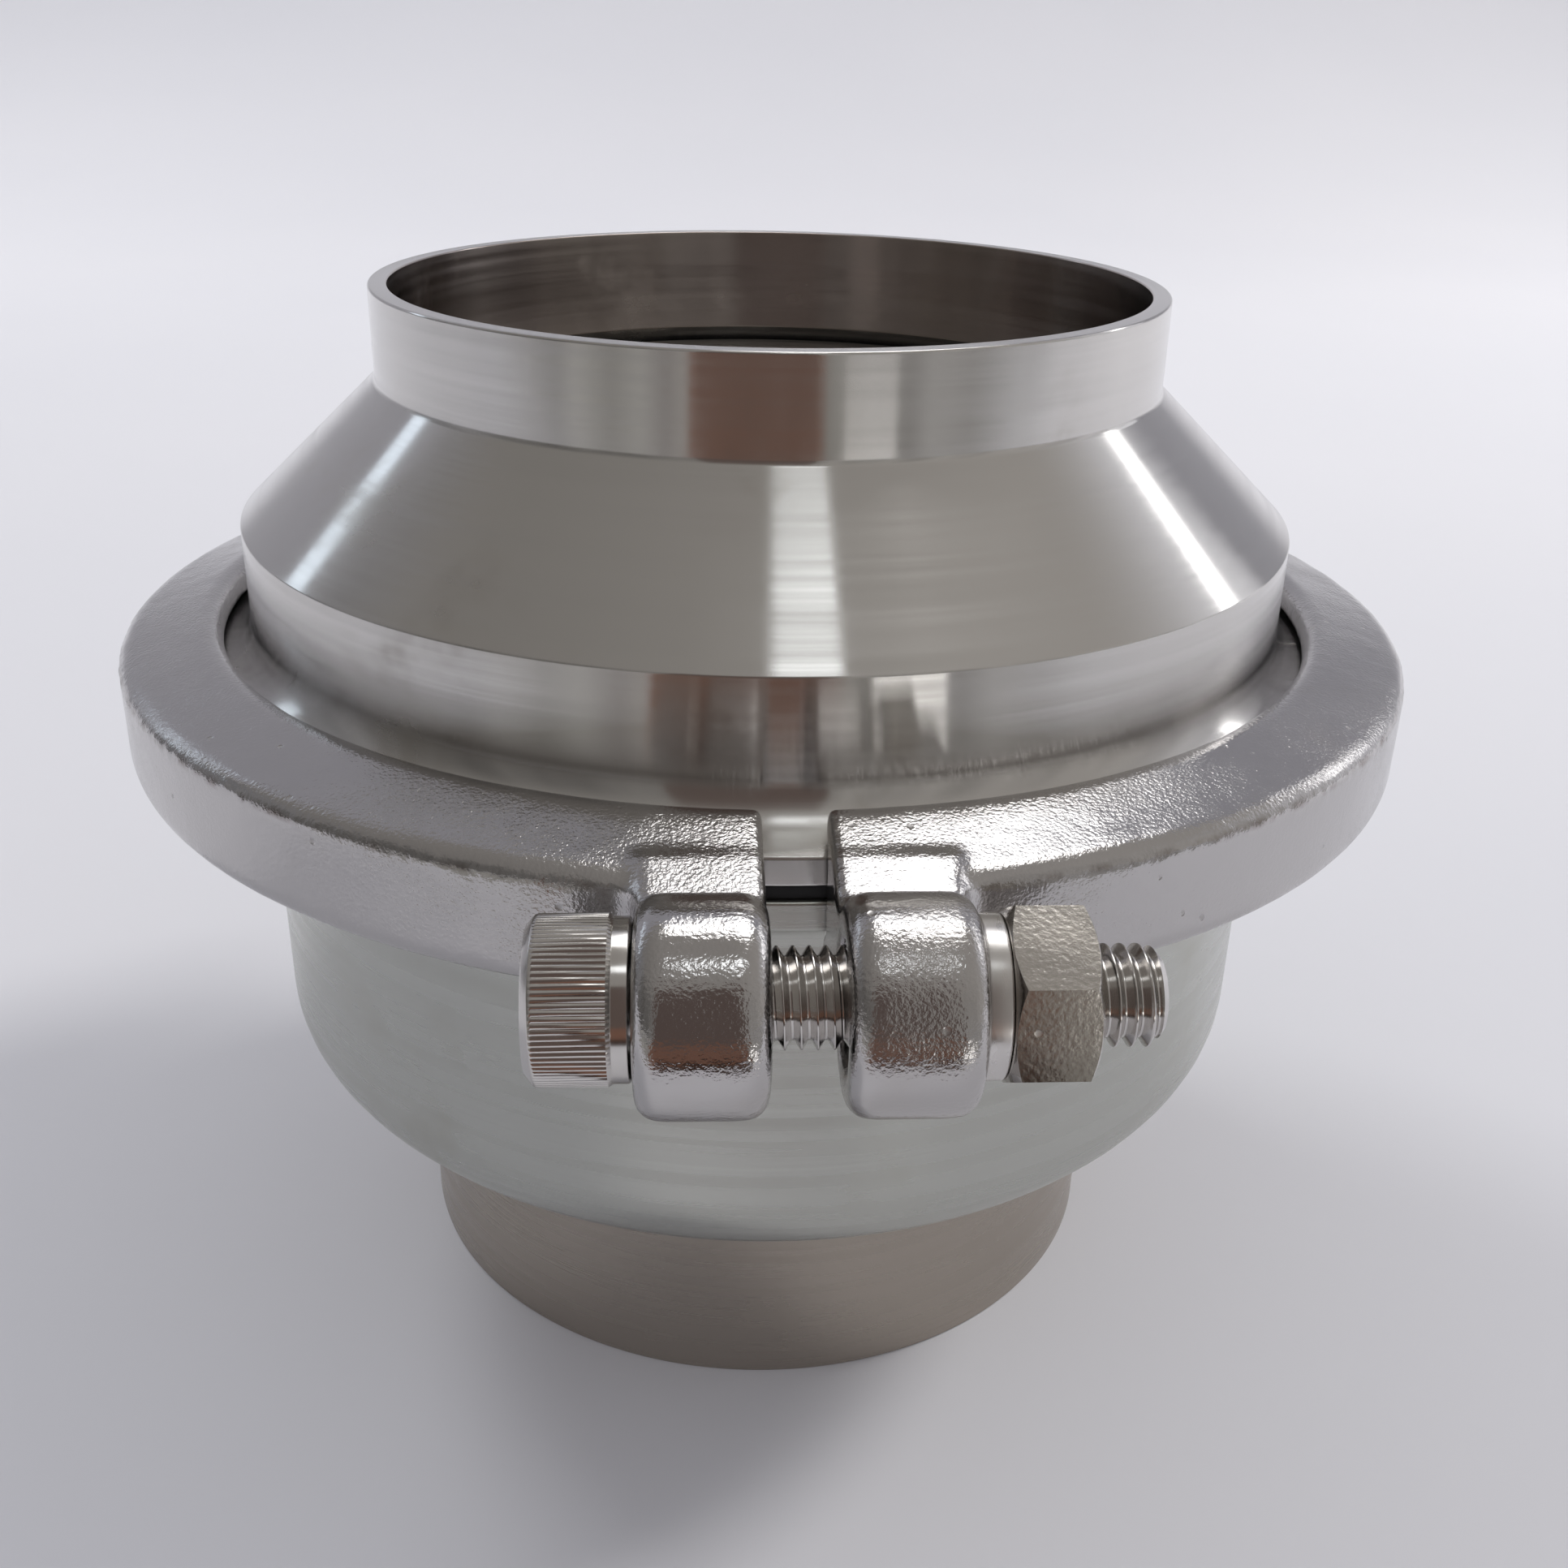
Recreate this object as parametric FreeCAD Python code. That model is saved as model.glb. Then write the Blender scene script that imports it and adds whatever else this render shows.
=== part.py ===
"""Sanitary non-return valve with weld ends, DN 80, held shut by a return spring.

Two turned bodies meet at a gasket and are pulled together by a hinged two-piece
wedge clamp with one M8 screw. Inside, a plug on a stem is pressed up against the
cone of the upper body and slides in a bush carried by a three-armed guide.

Millimetres, +Z up. The origin is on the valve's axis at the end face of the lower
weld neck; the clamp's screw is on the -Y side and its hinge on the +Y side.
"""
import FreeCAD, Part
import math
import os

os.makedirs("parts", exist_ok=True)

# ---------------------------------------------------------------- driving sizes
# weld necks, sized for the tube that is welded on
tube_od = 85.0
tube_wall = 2.0
outlet_neck_len = 26.0
inlet_neck_len = 9.6

# bodies
body_od = 115.0
body_wall = 4.0
outlet_body_len = 46.05          # shoulder plane to flange face
inlet_body_len = 16.85           # flange face to the foot of the cone
cone_len = 14.1
cone_wall_radial = 4.5           # wall of the cone, measured square to the axis
shoulder_r = 10.0
neck_root_r = 0.8
floor_edge_r = 5.0               # rounding where the chamber's floor meets the outlet bore
floor_flat = 1.0                 # least flat left on the floor

# flanges and gasket
flange_w = 5.2                   # flange beyond the body wall
flange_rim = 2.8
flange_angle = 20.0
flange_root_r = 4.0
gasket_t = 1.5
gasket_recess = 0.5              # how far the gasket stays back from the rims
gasket_lap = 2.0                 # how far the gasket laps over the guide ring
bead_r = 1.6
bead_inset = 3.9                 # rim to the middle of the bead
bead_gap = 0.05

# clamp
clamp_wall = 8.2                 # ring outside its groove
clamp_lip_gap = 3.0              # body wall to the clamp's inner edge
clamp_lip_h = 8.0                # joint plane to the top of the inner edge
clamp_rim_h = 5.3                # joint plane to the top of the outer edge
clamp_seat_gap = 0.3
clamp_edge_r = 1.6
ear_gap = 5.4
ear_len = 10.2
ear_r = 8.5
ear_edge_r = 2.4
ear_web_fillet = 3.0
ear_hole_play = 2.5              # ear hole beyond the screw's diameter
screw_side_gap = 0.2             # screw to the inner side of the ear's hole

# hinge at the back of the clamp
pin_d = 6.0
pin_head_d = 9.0
pin_head_t = 1.5
pin_run_gap = 0.05
knuckle_r = 6.0
knuckle_gap = 0.3
tongue_t = 4.0
half_gap = 1.6                   # between the two halves at the back
hinge_stand_off = 4.8            # pin axis beyond the clamp's outer wall

# screw, lock washer and nut
screw_d = 8.0
screw_len = 40.0
head_d = 13.0
head_h = 8.0
socket_af = 6.0
socket_depth = 4.4
thread_gap = 0.05
washer_od = 12.7
washer_play = 0.1                # washer's bore beyond the screw's diameter
washer_t = 2.0
washer_slit = 1.4
nut_af = 13.0
nut_h = 6.5
nut_corner_deg = 35.0            # one corner above the -Y direction

# plug and stem
lift = 16.0
seat_run = 4.8                   # along the cone, from its top to where the seal touches
seal_cs = 4.0
seal_gap = 0.15
groove_gap = 0.05
plug_gap = 1.0                   # plug's cone to the seat cone, square to it
plug_land_up = 3.3               # plug's cone above the seal, along the cone
plug_land_down = 3.7             # and below it
plug_edge_h = 1.6
boss_r = 7.0
stem_d = 8.0
stem_socket = 5.0
stem_tail = 2.0                  # stem beyond the circlip
stop_gap = 0.2
retain_gap = 0.3
stop_washer_od = 16.0
stop_washer_t = 1.2
circlip_t = 1.0
circlip_od = 13.0
circlip_groove = 0.5             # depth of the groove
circlip_slot = 3.0

# guide
guide_ring_t = 3.5
guide_ring_w = 4.2
guide_ring_gap = 0.1
guide_ledge = 1.8
hub_wall = 2.0
hub_drop = 8.55                  # hub top below the flange face
hub_len = 13.5
bush_wall = 1.95
bush_gap = 0.05
arm_count = 3
arm_t = 3.0
arm_drop = 1.5                   # arm's top below the hub's top
arm_h = 12.0
arm_rise_in = 22.0               # arm leaves its level this far outside the hub
arm_foot_w = 8.0

# return spring
spring_r = 11.0
spring_wire = 1.8
spring_turns = 6
seat_washer_r = 14.0
seat_washer_t = 1.2
seat_washer_gap = 0.1

# ---------------------------------------------------------------- worked-out places
X = FreeCAD.Vector(1, 0, 0)
Z = FreeCAD.Vector(0, 0, 1)

tube_r = tube_od / 2
tube_bore_r = tube_r - tube_wall
body_r = body_od / 2
chamber_r = body_r - body_wall
flange_r = body_r + flange_w
lip_r = body_r + clamp_lip_gap

shoulder_z = outlet_neck_len
outer_shoulder_r = min(shoulder_r, body_r - tube_r - 2 * neck_root_r)
inner_shoulder_r = outer_shoulder_r - body_wall
floor_r = min(floor_edge_r, chamber_r - tube_bore_r - inner_shoulder_r - floor_flat)
lower_face_z = shoulder_z + outlet_body_len
joint_z = lower_face_z + gasket_t / 2
upper_face_z = lower_face_z + gasket_t
cone_foot_z = upper_face_z + inlet_body_len
cone_top_z = cone_foot_z + cone_len
top_z = cone_top_z + inlet_neck_len

rise = math.tan(math.radians(flange_angle))
flange_slope_h = (flange_r - body_r) * rise
bead_ring_r = flange_r - bead_inset

# seat cone inside the upper body: parallel to the outer cone
cone_run = (body_r - tube_r) / cone_len          # radius gained per mm going down
cone_hyp = math.hypot(body_r - tube_r, cone_len)
seat_in = cone_len / cone_hyp                    # square to the cone: inwards ...
seat_down = (body_r - tube_r) / cone_hyp         # ... and downwards
seat_foot_r = body_r - cone_wall_radial


def seat_z(radius):
    """Height of the seat cone where it has this radius."""
    return cone_foot_z + (seat_foot_r - radius) / cone_run


seat_top_z = seat_z(tube_bore_r)
seat_contact_r = tube_bore_r + seat_run * seat_down

# clamp and its ears
clamp_seat_h = gasket_t / 2 + flange_rim + clamp_seat_gap / math.cos(math.radians(flange_angle))
groove_r = flange_r + clamp_seat_gap
clamp_r = groove_r + clamp_wall
ear_hole_d = screw_d + ear_hole_play
ear_y = -(clamp_r + ear_r)
screw_r = screw_d / 2 - thread_gap
screw_y = ear_y + ear_hole_d / 2 - screw_d / 2 - screw_side_gap
ear_in_x = ear_gap / 2
ear_out_x = ear_in_x + ear_len
hinge_y = clamp_r + hinge_stand_off

# guide and spring
recess_r = chamber_r + guide_ledge
recess_z = lower_face_z - guide_ring_t
ring_out_r = recess_r - guide_ring_gap
ring_in_r = ring_out_r - guide_ring_w
bush_r = stem_d / 2 + bush_gap + bush_wall
hub_r = bush_r + hub_wall
hub_top_z = lower_face_z - hub_drop
hub_foot_z = hub_top_z - hub_len
arm_top_z = hub_top_z - arm_drop
spring_foot_z = arm_top_z + seat_washer_t

# plug
plug_top_r = seat_contact_r - plug_land_up * seat_down - plug_gap * seat_in
plug_top_z = seat_z(seat_contact_r) + plug_land_up * seat_in - plug_gap * seat_down
plug_r = seat_contact_r + plug_land_down * seat_down - plug_gap * seat_in
plug_edge_z = seat_z(seat_contact_r) - plug_land_down * seat_in - plug_gap * seat_down
plug_foot_z = plug_edge_z - plug_edge_h
seal_offset = seal_cs / 2 + seal_gap
seal_r = seat_contact_r - seal_offset * seat_in
seal_z = seat_z(seat_contact_r) - seal_offset * seat_down
boss_foot_z = hub_top_z + lift + stop_gap
stop_washer_z = hub_foot_z - retain_gap - stop_washer_t
circlip_z = stop_washer_z - circlip_t
stem_foot_z = circlip_z - stem_tail
circlip_groove_r = stem_d / 2 - circlip_groove
stem_top_z = plug_foot_z + stem_socket


# ---------------------------------------------------------------- helpers
def v(x, y, z):
    return FreeCAD.Vector(x, y, z)


def turned(points):
    """Solid of revolution about Z from an outline of (radius, height) points."""
    wire = Part.makePolygon([v(r, 0, z) for r, z in points + points[:1]])
    return Part.Face(wire).revolve(v(0, 0, 0), Z, 360)


def washer(r_out, r_in, z, height):
    """Flat ring standing on height z."""
    ring = Part.makeCylinder(r_out, height, v(0, 0, z))
    return ring.cut(Part.makeCylinder(r_in, height, v(0, 0, z)))


def rod_x(radius, x0, x1, y, z):
    """Cylinder along X."""
    return Part.makeCylinder(radius, x1 - x0, v(x0, y, z), X)


def hexagon_x(across_flats, x0, x1, y, z, corner_deg):
    """Hexagonal bar along X, one corner turned corner_deg above the -Y direction."""
    corner_r = across_flats / math.sqrt(3)
    corners = []
    for i in range(7):
        a = math.radians(180 - corner_deg + 60 * i)
        corners.append(v(x0, y + corner_r * math.cos(a), z + corner_r * math.sin(a)))
    return Part.Face(Part.makePolygon(corners)).extrude(v(x1 - x0, 0, 0))


def rounded(shape, radius, wanted):
    """Fillet the edges that wanted(edge) picks."""
    edges = [e for e in shape.Edges if wanted(e)]
    return shape.makeFillet(radius, edges)


def circle_edge(radius, z):
    """Test for a full circle about Z with this radius at this height."""
    def wanted(edge):
        if not isinstance(edge.Curve, Part.Circle):
            return False
        centre = edge.Curve.Center
        return (abs(edge.Curve.Radius - radius) < 1e-4 and abs(centre.z - z) < 1e-4
                and math.hypot(centre.x, centre.y) < 1e-4)
    return wanted


def bead_groove(z):
    """Ring that cuts half of the gasket's bead into a flange face."""
    return Part.makeTorus(bead_ring_r, bead_r + bead_gap, v(0, 0, z), Z)


# ---------------------------------------------------------------- bodies
def lower_body():
    """Outlet body: long chamber with a round shoulder and a weld neck below."""
    inner_floor_z = shoulder_z + body_wall
    shape = turned([
        (tube_bore_r, 0), (tube_r, 0), (tube_r, shoulder_z), (body_r, shoulder_z),
        (body_r, lower_face_z - flange_rim - flange_slope_h),
        (flange_r, lower_face_z - flange_rim), (flange_r, lower_face_z),
        (recess_r, lower_face_z), (recess_r, recess_z), (chamber_r, recess_z),
        (chamber_r, inner_floor_z), (tube_bore_r, inner_floor_z)])
    shape = rounded(shape, outer_shoulder_r, circle_edge(body_r, shoulder_z))
    shape = rounded(shape, inner_shoulder_r, circle_edge(chamber_r, inner_floor_z))
    shape = rounded(shape, floor_r, circle_edge(tube_bore_r, inner_floor_z))
    shape = rounded(shape, neck_root_r, circle_edge(tube_r, shoulder_z))
    shape = rounded(shape, flange_root_r,
                    circle_edge(body_r, lower_face_z - flange_rim - flange_slope_h))
    return shape.cut(bead_groove(lower_face_z))


def upper_body():
    """Inlet body: short cylinder, cone that holds the seat, and a weld neck on top."""
    shape = turned([
        (tube_bore_r, top_z), (tube_r, top_z), (tube_r, cone_top_z), (body_r, cone_foot_z),
        (body_r, upper_face_z + flange_rim + flange_slope_h),
        (flange_r, upper_face_z + flange_rim), (flange_r, upper_face_z),
        (seat_foot_r, upper_face_z), (seat_foot_r, cone_foot_z),
        (tube_bore_r, seat_top_z)])
    shape = rounded(shape, neck_root_r, circle_edge(tube_r, cone_top_z))
    shape = rounded(shape, flange_root_r,
                    circle_edge(body_r, upper_face_z + flange_rim + flange_slope_h))
    return shape.cut(bead_groove(upper_face_z))


def body_gasket():
    """Flat ring gasket with a round bead that sits in both flange grooves."""
    ring = washer(flange_r - gasket_recess, ring_out_r - gasket_lap, lower_face_z, gasket_t)
    low = Part.makeTorus(bead_ring_r, bead_r, v(0, 0, lower_face_z), Z)
    high = Part.makeTorus(bead_ring_r, bead_r, v(0, 0, upper_face_z), Z)
    return ring.fuse([low, high]).removeSplitter()


# ---------------------------------------------------------------- clamp
def clamp_ring():
    """Whole clamp ring: wedge-grooved section turned about Z."""
    slope = (clamp_lip_h - clamp_rim_h) / (clamp_r - lip_r)
    lip_seat_h = clamp_seat_h + (flange_r - lip_r) * rise
    groove_h = clamp_seat_h + (flange_r - groove_r) * rise
    top_z_here = joint_z + clamp_lip_h
    ring = turned([
        (lip_r, top_z_here), (clamp_r, joint_z + clamp_rim_h), (clamp_r, joint_z - clamp_rim_h),
        (lip_r, joint_z - clamp_lip_h), (lip_r, joint_z - lip_seat_h),
        (groove_r, joint_z - groove_h), (groove_r, joint_z + groove_h),
        (lip_r, joint_z + lip_seat_h)])
    for side in (1, -1):
        ring = rounded(ring, clamp_edge_r, circle_edge(clamp_r, joint_z + side * clamp_rim_h))
        ring = rounded(ring, clamp_edge_r, circle_edge(lip_r, joint_z + side * clamp_lip_h))
    return ring


def ear(side):
    """Ear for the screw: round boss on a web that grows out of the ring's end."""
    x0 = min(side * ear_in_x, side * ear_out_x)
    boss = rod_x(ear_r, x0, x0 + ear_len, ear_y, joint_z)
    boss = boss.makeFillet(ear_edge_r, [e for e in boss.Edges if isinstance(e.Curve, Part.Circle)])
    web_y = -(groove_r + (clamp_r - groove_r) / 2)
    web = Part.makeBox(ear_len, web_y - ear_y, 2 * clamp_rim_h, v(x0, ear_y, joint_z - clamp_rim_h))
    fillet_x = x0 if side < 0 else x0 + ear_len
    fillet_y = -math.sqrt((clamp_r + ear_web_fillet) ** 2 - (ear_out_x + ear_web_fillet) ** 2)
    corner = Part.makePolygon([
        v(fillet_x, fillet_y, joint_z - clamp_rim_h),
        v(fillet_x + side * ear_web_fillet, fillet_y, joint_z - clamp_rim_h),
        v(fillet_x + side * ear_web_fillet, web_y, joint_z - clamp_rim_h),
        v(fillet_x, web_y, joint_z - clamp_rim_h),
        v(fillet_x, fillet_y, joint_z - clamp_rim_h)])
    gusset = Part.Face(corner).extrude(v(0, 0, 2 * clamp_rim_h))
    hollow = Part.makeCylinder(ear_web_fillet, 2 * clamp_rim_h + 2,
                               v(fillet_x + side * ear_web_fillet, fillet_y,
                                 joint_z - clamp_rim_h - 1))
    return boss.fuse([web, gusset.cut(hollow)])


def knuckle(side, z0, z1):
    """Hinge knuckle about the pin, with the web that ties it to one clamp half."""
    height = z1 - z0
    disc = Part.makeCylinder(knuckle_r, height, v(0, hinge_y, z0))
    tangent = knuckle_r * math.sqrt(0.5)
    root_x = math.sqrt(clamp_r ** 2 - (clamp_r - tangent / 2) ** 2)
    outline = Part.makePolygon([
        v(side * tangent, hinge_y + tangent, z0),
        v(side * root_x, clamp_r - tangent / 2, z0),
        v(side * root_x, groove_r + 1.0, z0),
        v(side * half_gap / 2, groove_r + 1.0, z0),
        v(side * half_gap / 2, hinge_y, z0),
        v(side * tangent, hinge_y + tangent, z0)])
    return disc.fuse(Part.Face(outline).extrude(v(0, 0, height)))


def clamp_half(side):
    """One half of the clamp: side -1 carries the tongue, side +1 the fork."""
    reach = clamp_r + ear_r
    keep = Part.makeBox(reach, 2 * reach, 4 * clamp_lip_h,
                        v(0 if side > 0 else -reach, -reach, joint_z - 2 * clamp_lip_h))
    front = Part.makeBox(ear_gap, reach, 4 * clamp_lip_h,
                         v(-ear_in_x, -reach, joint_z - 2 * clamp_lip_h))
    back = Part.makeBox(half_gap, reach, 4 * clamp_lip_h,
                        v(-half_gap / 2, 0, joint_z - 2 * clamp_lip_h))
    half = clamp_ring().common(keep).cut(front).cut(back)
    half = half.fuse(ear(side))

    leaf_z = tongue_t / 2 + knuckle_gap
    relief_r = knuckle_r + knuckle_gap
    if side < 0:
        layers = [(joint_z - tongue_t / 2, joint_z + tongue_t / 2)]
        reliefs = [(joint_z - 2 * clamp_lip_h, joint_z - tongue_t / 2),
                   (joint_z + tongue_t / 2, joint_z + 2 * clamp_lip_h)]
        pin_hole_r = pin_d / 2 + pin_run_gap
    else:
        layers = [(joint_z - clamp_rim_h, joint_z - leaf_z),
                  (joint_z + leaf_z, joint_z + clamp_rim_h)]
        reliefs = [(joint_z - leaf_z, joint_z + leaf_z),
                   (joint_z - 2 * clamp_lip_h, joint_z - clamp_rim_h),
                   (joint_z + clamp_rim_h, joint_z + 2 * clamp_lip_h)]
        pin_hole_r = pin_d / 2
    for z0, z1 in reliefs:
        half = half.cut(Part.makeCylinder(relief_r, z1 - z0, v(0, hinge_y, z0)))
    half = half.fuse([knuckle(side, z0, z1) for z0, z1 in layers])
    groove = turned([
        (body_r, joint_z - clamp_seat_h), (groove_r, joint_z - clamp_seat_h),
        (groove_r, joint_z + clamp_seat_h), (body_r, joint_z + clamp_seat_h)])
    half = half.cut(groove)
    hole = rod_x(ear_hole_d / 2, -reach, reach, ear_y, joint_z)
    pin_hole = Part.makeCylinder(pin_hole_r, 4 * clamp_lip_h,
                                 v(0, hinge_y, joint_z - 2 * clamp_lip_h))
    return half.cut(hole).cut(pin_hole).removeSplitter()


def hinge_pin():
    """Plain pin, headed over at both ends on the outside of the fork."""
    shank = Part.makeCylinder(pin_d / 2, 2 * (clamp_rim_h + pin_head_t),
                              v(0, hinge_y, joint_z - clamp_rim_h - pin_head_t))
    heads = []
    for z in (joint_z - clamp_rim_h - pin_head_t, joint_z + clamp_rim_h):
        head = Part.makeCylinder(pin_head_d / 2, pin_head_t, v(0, hinge_y, z))
        outer_z = z if z < joint_z else z + pin_head_t
        rim = [e for e in head.Edges
               if isinstance(e.Curve, Part.Circle) and abs(e.Curve.Center.z - outer_z) < 1e-4]
        heads.append(head.makeFillet(pin_head_t / 2, rim))
    return shank.fuse(heads).removeSplitter()


# ---------------------------------------------------------------- fasteners
def cap_screw():
    """Socket head cap screw along X; the shank is the thread's outside diameter."""
    head_x = -ear_out_x - head_h
    head = rod_x(head_d / 2, head_x, -ear_out_x, screw_y, joint_z)
    head = head.makeChamfer(screw_d / 10, [
        e for e in head.Edges
        if isinstance(e.Curve, Part.Circle) and abs(e.Curve.Center.x - head_x) < 1e-4])
    tip_x = screw_len - ear_out_x
    shank = rod_x(screw_r, -ear_out_x, tip_x, screw_y, joint_z)
    shank = shank.makeChamfer(screw_d / 10, [
        e for e in shank.Edges
        if isinstance(e.Curve, Part.Circle) and abs(e.Curve.Center.x - tip_x) < 1e-4])
    socket = hexagon_x(socket_af, head_x, head_x + socket_depth, screw_y, joint_z, 0)
    return head.fuse(shank).removeSplitter().cut(socket)


def lock_washer():
    """Split spring washer, pressed flat between the ear and the nut."""
    ring = rod_x(washer_od / 2, ear_out_x, ear_out_x + washer_t, screw_y, joint_z)
    ring = ring.cut(rod_x((screw_d + washer_play) / 2, ear_out_x, ear_out_x + washer_t, screw_y, joint_z))
    slit = Part.makeBox(washer_t, washer_slit, washer_od,
                        v(ear_out_x, screw_y - washer_slit / 2, joint_z - washer_od))
    return ring.cut(slit)


def hex_nut():
    """Hexagon nut, both faces chamfered, bored to the thread's outside diameter."""
    x0 = ear_out_x + washer_t
    x1 = x0 + nut_h
    bar = hexagon_x(nut_af, x0, x1, screw_y, joint_z, nut_corner_deg)
    corner_r = nut_af / math.sqrt(3)
    flat_r = nut_af / 2
    bevel = (corner_r - flat_r) * math.tan(math.radians(30))
    blank = rod_x(corner_r, x0, x1, screw_y, joint_z)
    trims = []
    for face_x, way in ((x0, 1), (x1, -1)):
        outline = Part.makePolygon([
            v(face_x, screw_y + flat_r, joint_z), v(face_x, screw_y + 2 * flat_r, joint_z),
            v(face_x + way * bevel, screw_y + 2 * flat_r, joint_z),
            v(face_x + way * bevel, screw_y + corner_r, joint_z),
            v(face_x, screw_y + flat_r, joint_z)])
        trims.append(Part.Face(outline).revolve(v(0, screw_y, joint_z), X, 360))
    nut = bar.common(blank)
    for trim in trims:
        nut = nut.cut(trim)
    return nut.cut(rod_x(screw_d / 2, x0, x1, screw_y, joint_z))


# ---------------------------------------------------------------- plug assembly
def valve_plug():
    """Conical plug with a seal groove in its cone and a boss that stops its stroke."""
    shape = turned([
        (0, plug_top_z), (plug_top_r, plug_top_z), (plug_r, plug_edge_z),
        (plug_r, plug_foot_z), (boss_r, plug_foot_z), (boss_r, boss_foot_z), (0, boss_foot_z)])
    shape = shape.cut(Part.makeTorus(seal_r, seal_cs / 2 + groove_gap, v(0, 0, seal_z), Z))
    bore = Part.makeCylinder(stem_d / 2, stem_top_z - boss_foot_z, v(0, 0, boss_foot_z))
    return shape.cut(bore)


def plug_stem():
    """Ground stem, pressed into the plug, with a circlip groove near its foot."""
    stem = Part.makeCylinder(stem_d / 2, stem_top_z - stem_foot_z, v(0, 0, stem_foot_z))
    foot = [e for e in stem.Edges
            if isinstance(e.Curve, Part.Circle) and abs(e.Curve.Center.z - stem_foot_z) < 1e-4]
    stem = stem.makeChamfer(stem_d / 10, foot)
    return stem.cut(washer(stem_d, circlip_groove_r, circlip_z, circlip_t))


def plug_seal_ring():
    """O-ring that closes on the seat cone."""
    return Part.makeTorus(seal_r, seal_cs / 2, v(0, 0, seal_z), Z)


def stem_stop_washer():
    """Washer under the hub that keeps the plug from leaving the guide."""
    return washer(stop_washer_od / 2, stem_d / 2, stop_washer_z, stop_washer_t)


def stem_circlip():
    """External circlip in the stem's groove, open on one side."""
    clip = washer(circlip_od / 2, circlip_groove_r, circlip_z, circlip_t)
    slot = Part.makeBox(circlip_od, circlip_slot, circlip_t,
                        v(0, -circlip_slot / 2, circlip_z))
    return clip.cut(slot)


def return_spring():
    """Coil spring, round wire swept along a helix between its seat and the plug."""
    foot = spring_foot_z + spring_wire / 2
    height = plug_foot_z - spring_foot_z - spring_wire
    pitch = height / spring_turns
    helix = Part.makeLongHelix(pitch, height, spring_r)
    helix.translate(v(0, 0, foot))
    along = v(0, 2 * math.pi * spring_r, pitch)
    section = Part.Wire(Part.makeCircle(spring_wire / 2, v(spring_r, 0, foot), along))
    return Part.Wire(helix).makePipeShell([section], True, True)


# ---------------------------------------------------------------- guide
def guide_ring():
    """Rim of the guide, held in the recess of the lower flange by the gasket."""
    return washer(ring_out_r, ring_in_r, recess_z, guide_ring_t)


def guide_arms():
    """Arms welded between the hub and the rim, one solid each."""
    root_z = arm_top_z - arm_h
    outline = Part.makePolygon([
        v(bush_r, -arm_t / 2, root_z), v(bush_r, -arm_t / 2, arm_top_z),
        v(hub_r + arm_rise_in, -arm_t / 2, arm_top_z), v(ring_out_r, -arm_t / 2, lower_face_z),
        v(ring_out_r, -arm_t / 2, recess_z - arm_foot_w / 2),
        v(ring_in_r - arm_foot_w, -arm_t / 2, root_z),
        v(bush_r, -arm_t / 2, root_z)])
    blade = Part.Face(outline).extrude(v(0, arm_t, 0))
    blade = blade.common(washer(ring_in_r, hub_r, root_z, lower_face_z - root_z))
    arms = []
    for i in range(arm_count):
        arm = blade.copy()
        arm.rotate(v(0, 0, 0), Z, 90 + 360 / arm_count * i)
        arms.append(arm)
    return Part.makeCompound(arms)


def guide_hub():
    """Hub in the middle of the guide."""
    return washer(hub_r, bush_r, hub_foot_z, hub_len)


def guide_bush():
    """Plastic bush in the hub, with a running fit on the stem."""
    return washer(bush_r, stem_d / 2 + bush_gap, hub_foot_z, hub_len)


def spring_seat():
    """Flat washer on the arms, around the hub, that the spring stands on."""
    return washer(seat_washer_r, hub_r + seat_washer_gap, arm_top_z, seat_washer_t)


# ---------------------------------------------------------------- write every node
nodes = {
    "lower_body": lower_body(),
    "upper_body": upper_body(),
    "body_gasket": body_gasket(),
    "clamp_half_left": clamp_half(-1),
    "clamp_half_right": clamp_half(1),
    "hinge_pin": hinge_pin(),
    "cap_screw": cap_screw(),
    "lock_washer": lock_washer(),
    "hex_nut": hex_nut(),
    "valve_plug": valve_plug(),
    "plug_stem": plug_stem(),
    "plug_seal_ring": plug_seal_ring(),
    "stem_stop_washer": stem_stop_washer(),
    "stem_circlip": stem_circlip(),
    "return_spring": return_spring(),
    "spring_seat": spring_seat(),
    "guide_ring": guide_ring(),
    "guide_arms": guide_arms(),
    "guide_hub": guide_hub(),
    "guide_bush": guide_bush(),
}

for name, shape in nodes.items():
    shape.exportStep("parts/" + name + ".step")
    print(name, shape.ShapeType, len(shape.Solids), "valid", shape.isValid(),
          "volume", round(shape.Volume, 1))
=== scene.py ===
# %% [markdown]
# # A sanitary non-return valve in a hinged clamp
#
# The valve is two turned stainless bodies that meet at a black gasket. A cast clamp in two halves
# holds them together, pulled tight by one cap screw with a spring washer and a nut. Inside, a plug
# on a stem is pushed up against a cone by a coil spring.
#
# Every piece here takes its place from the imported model, which is loaded first. All lengths in the
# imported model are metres; the workshop sizes below are millimetres, so `mm` turns one into the other.

# %% Load the frame
import bpy
import bmesh
import math
from mathutils import Matrix, Vector, noise


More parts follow.
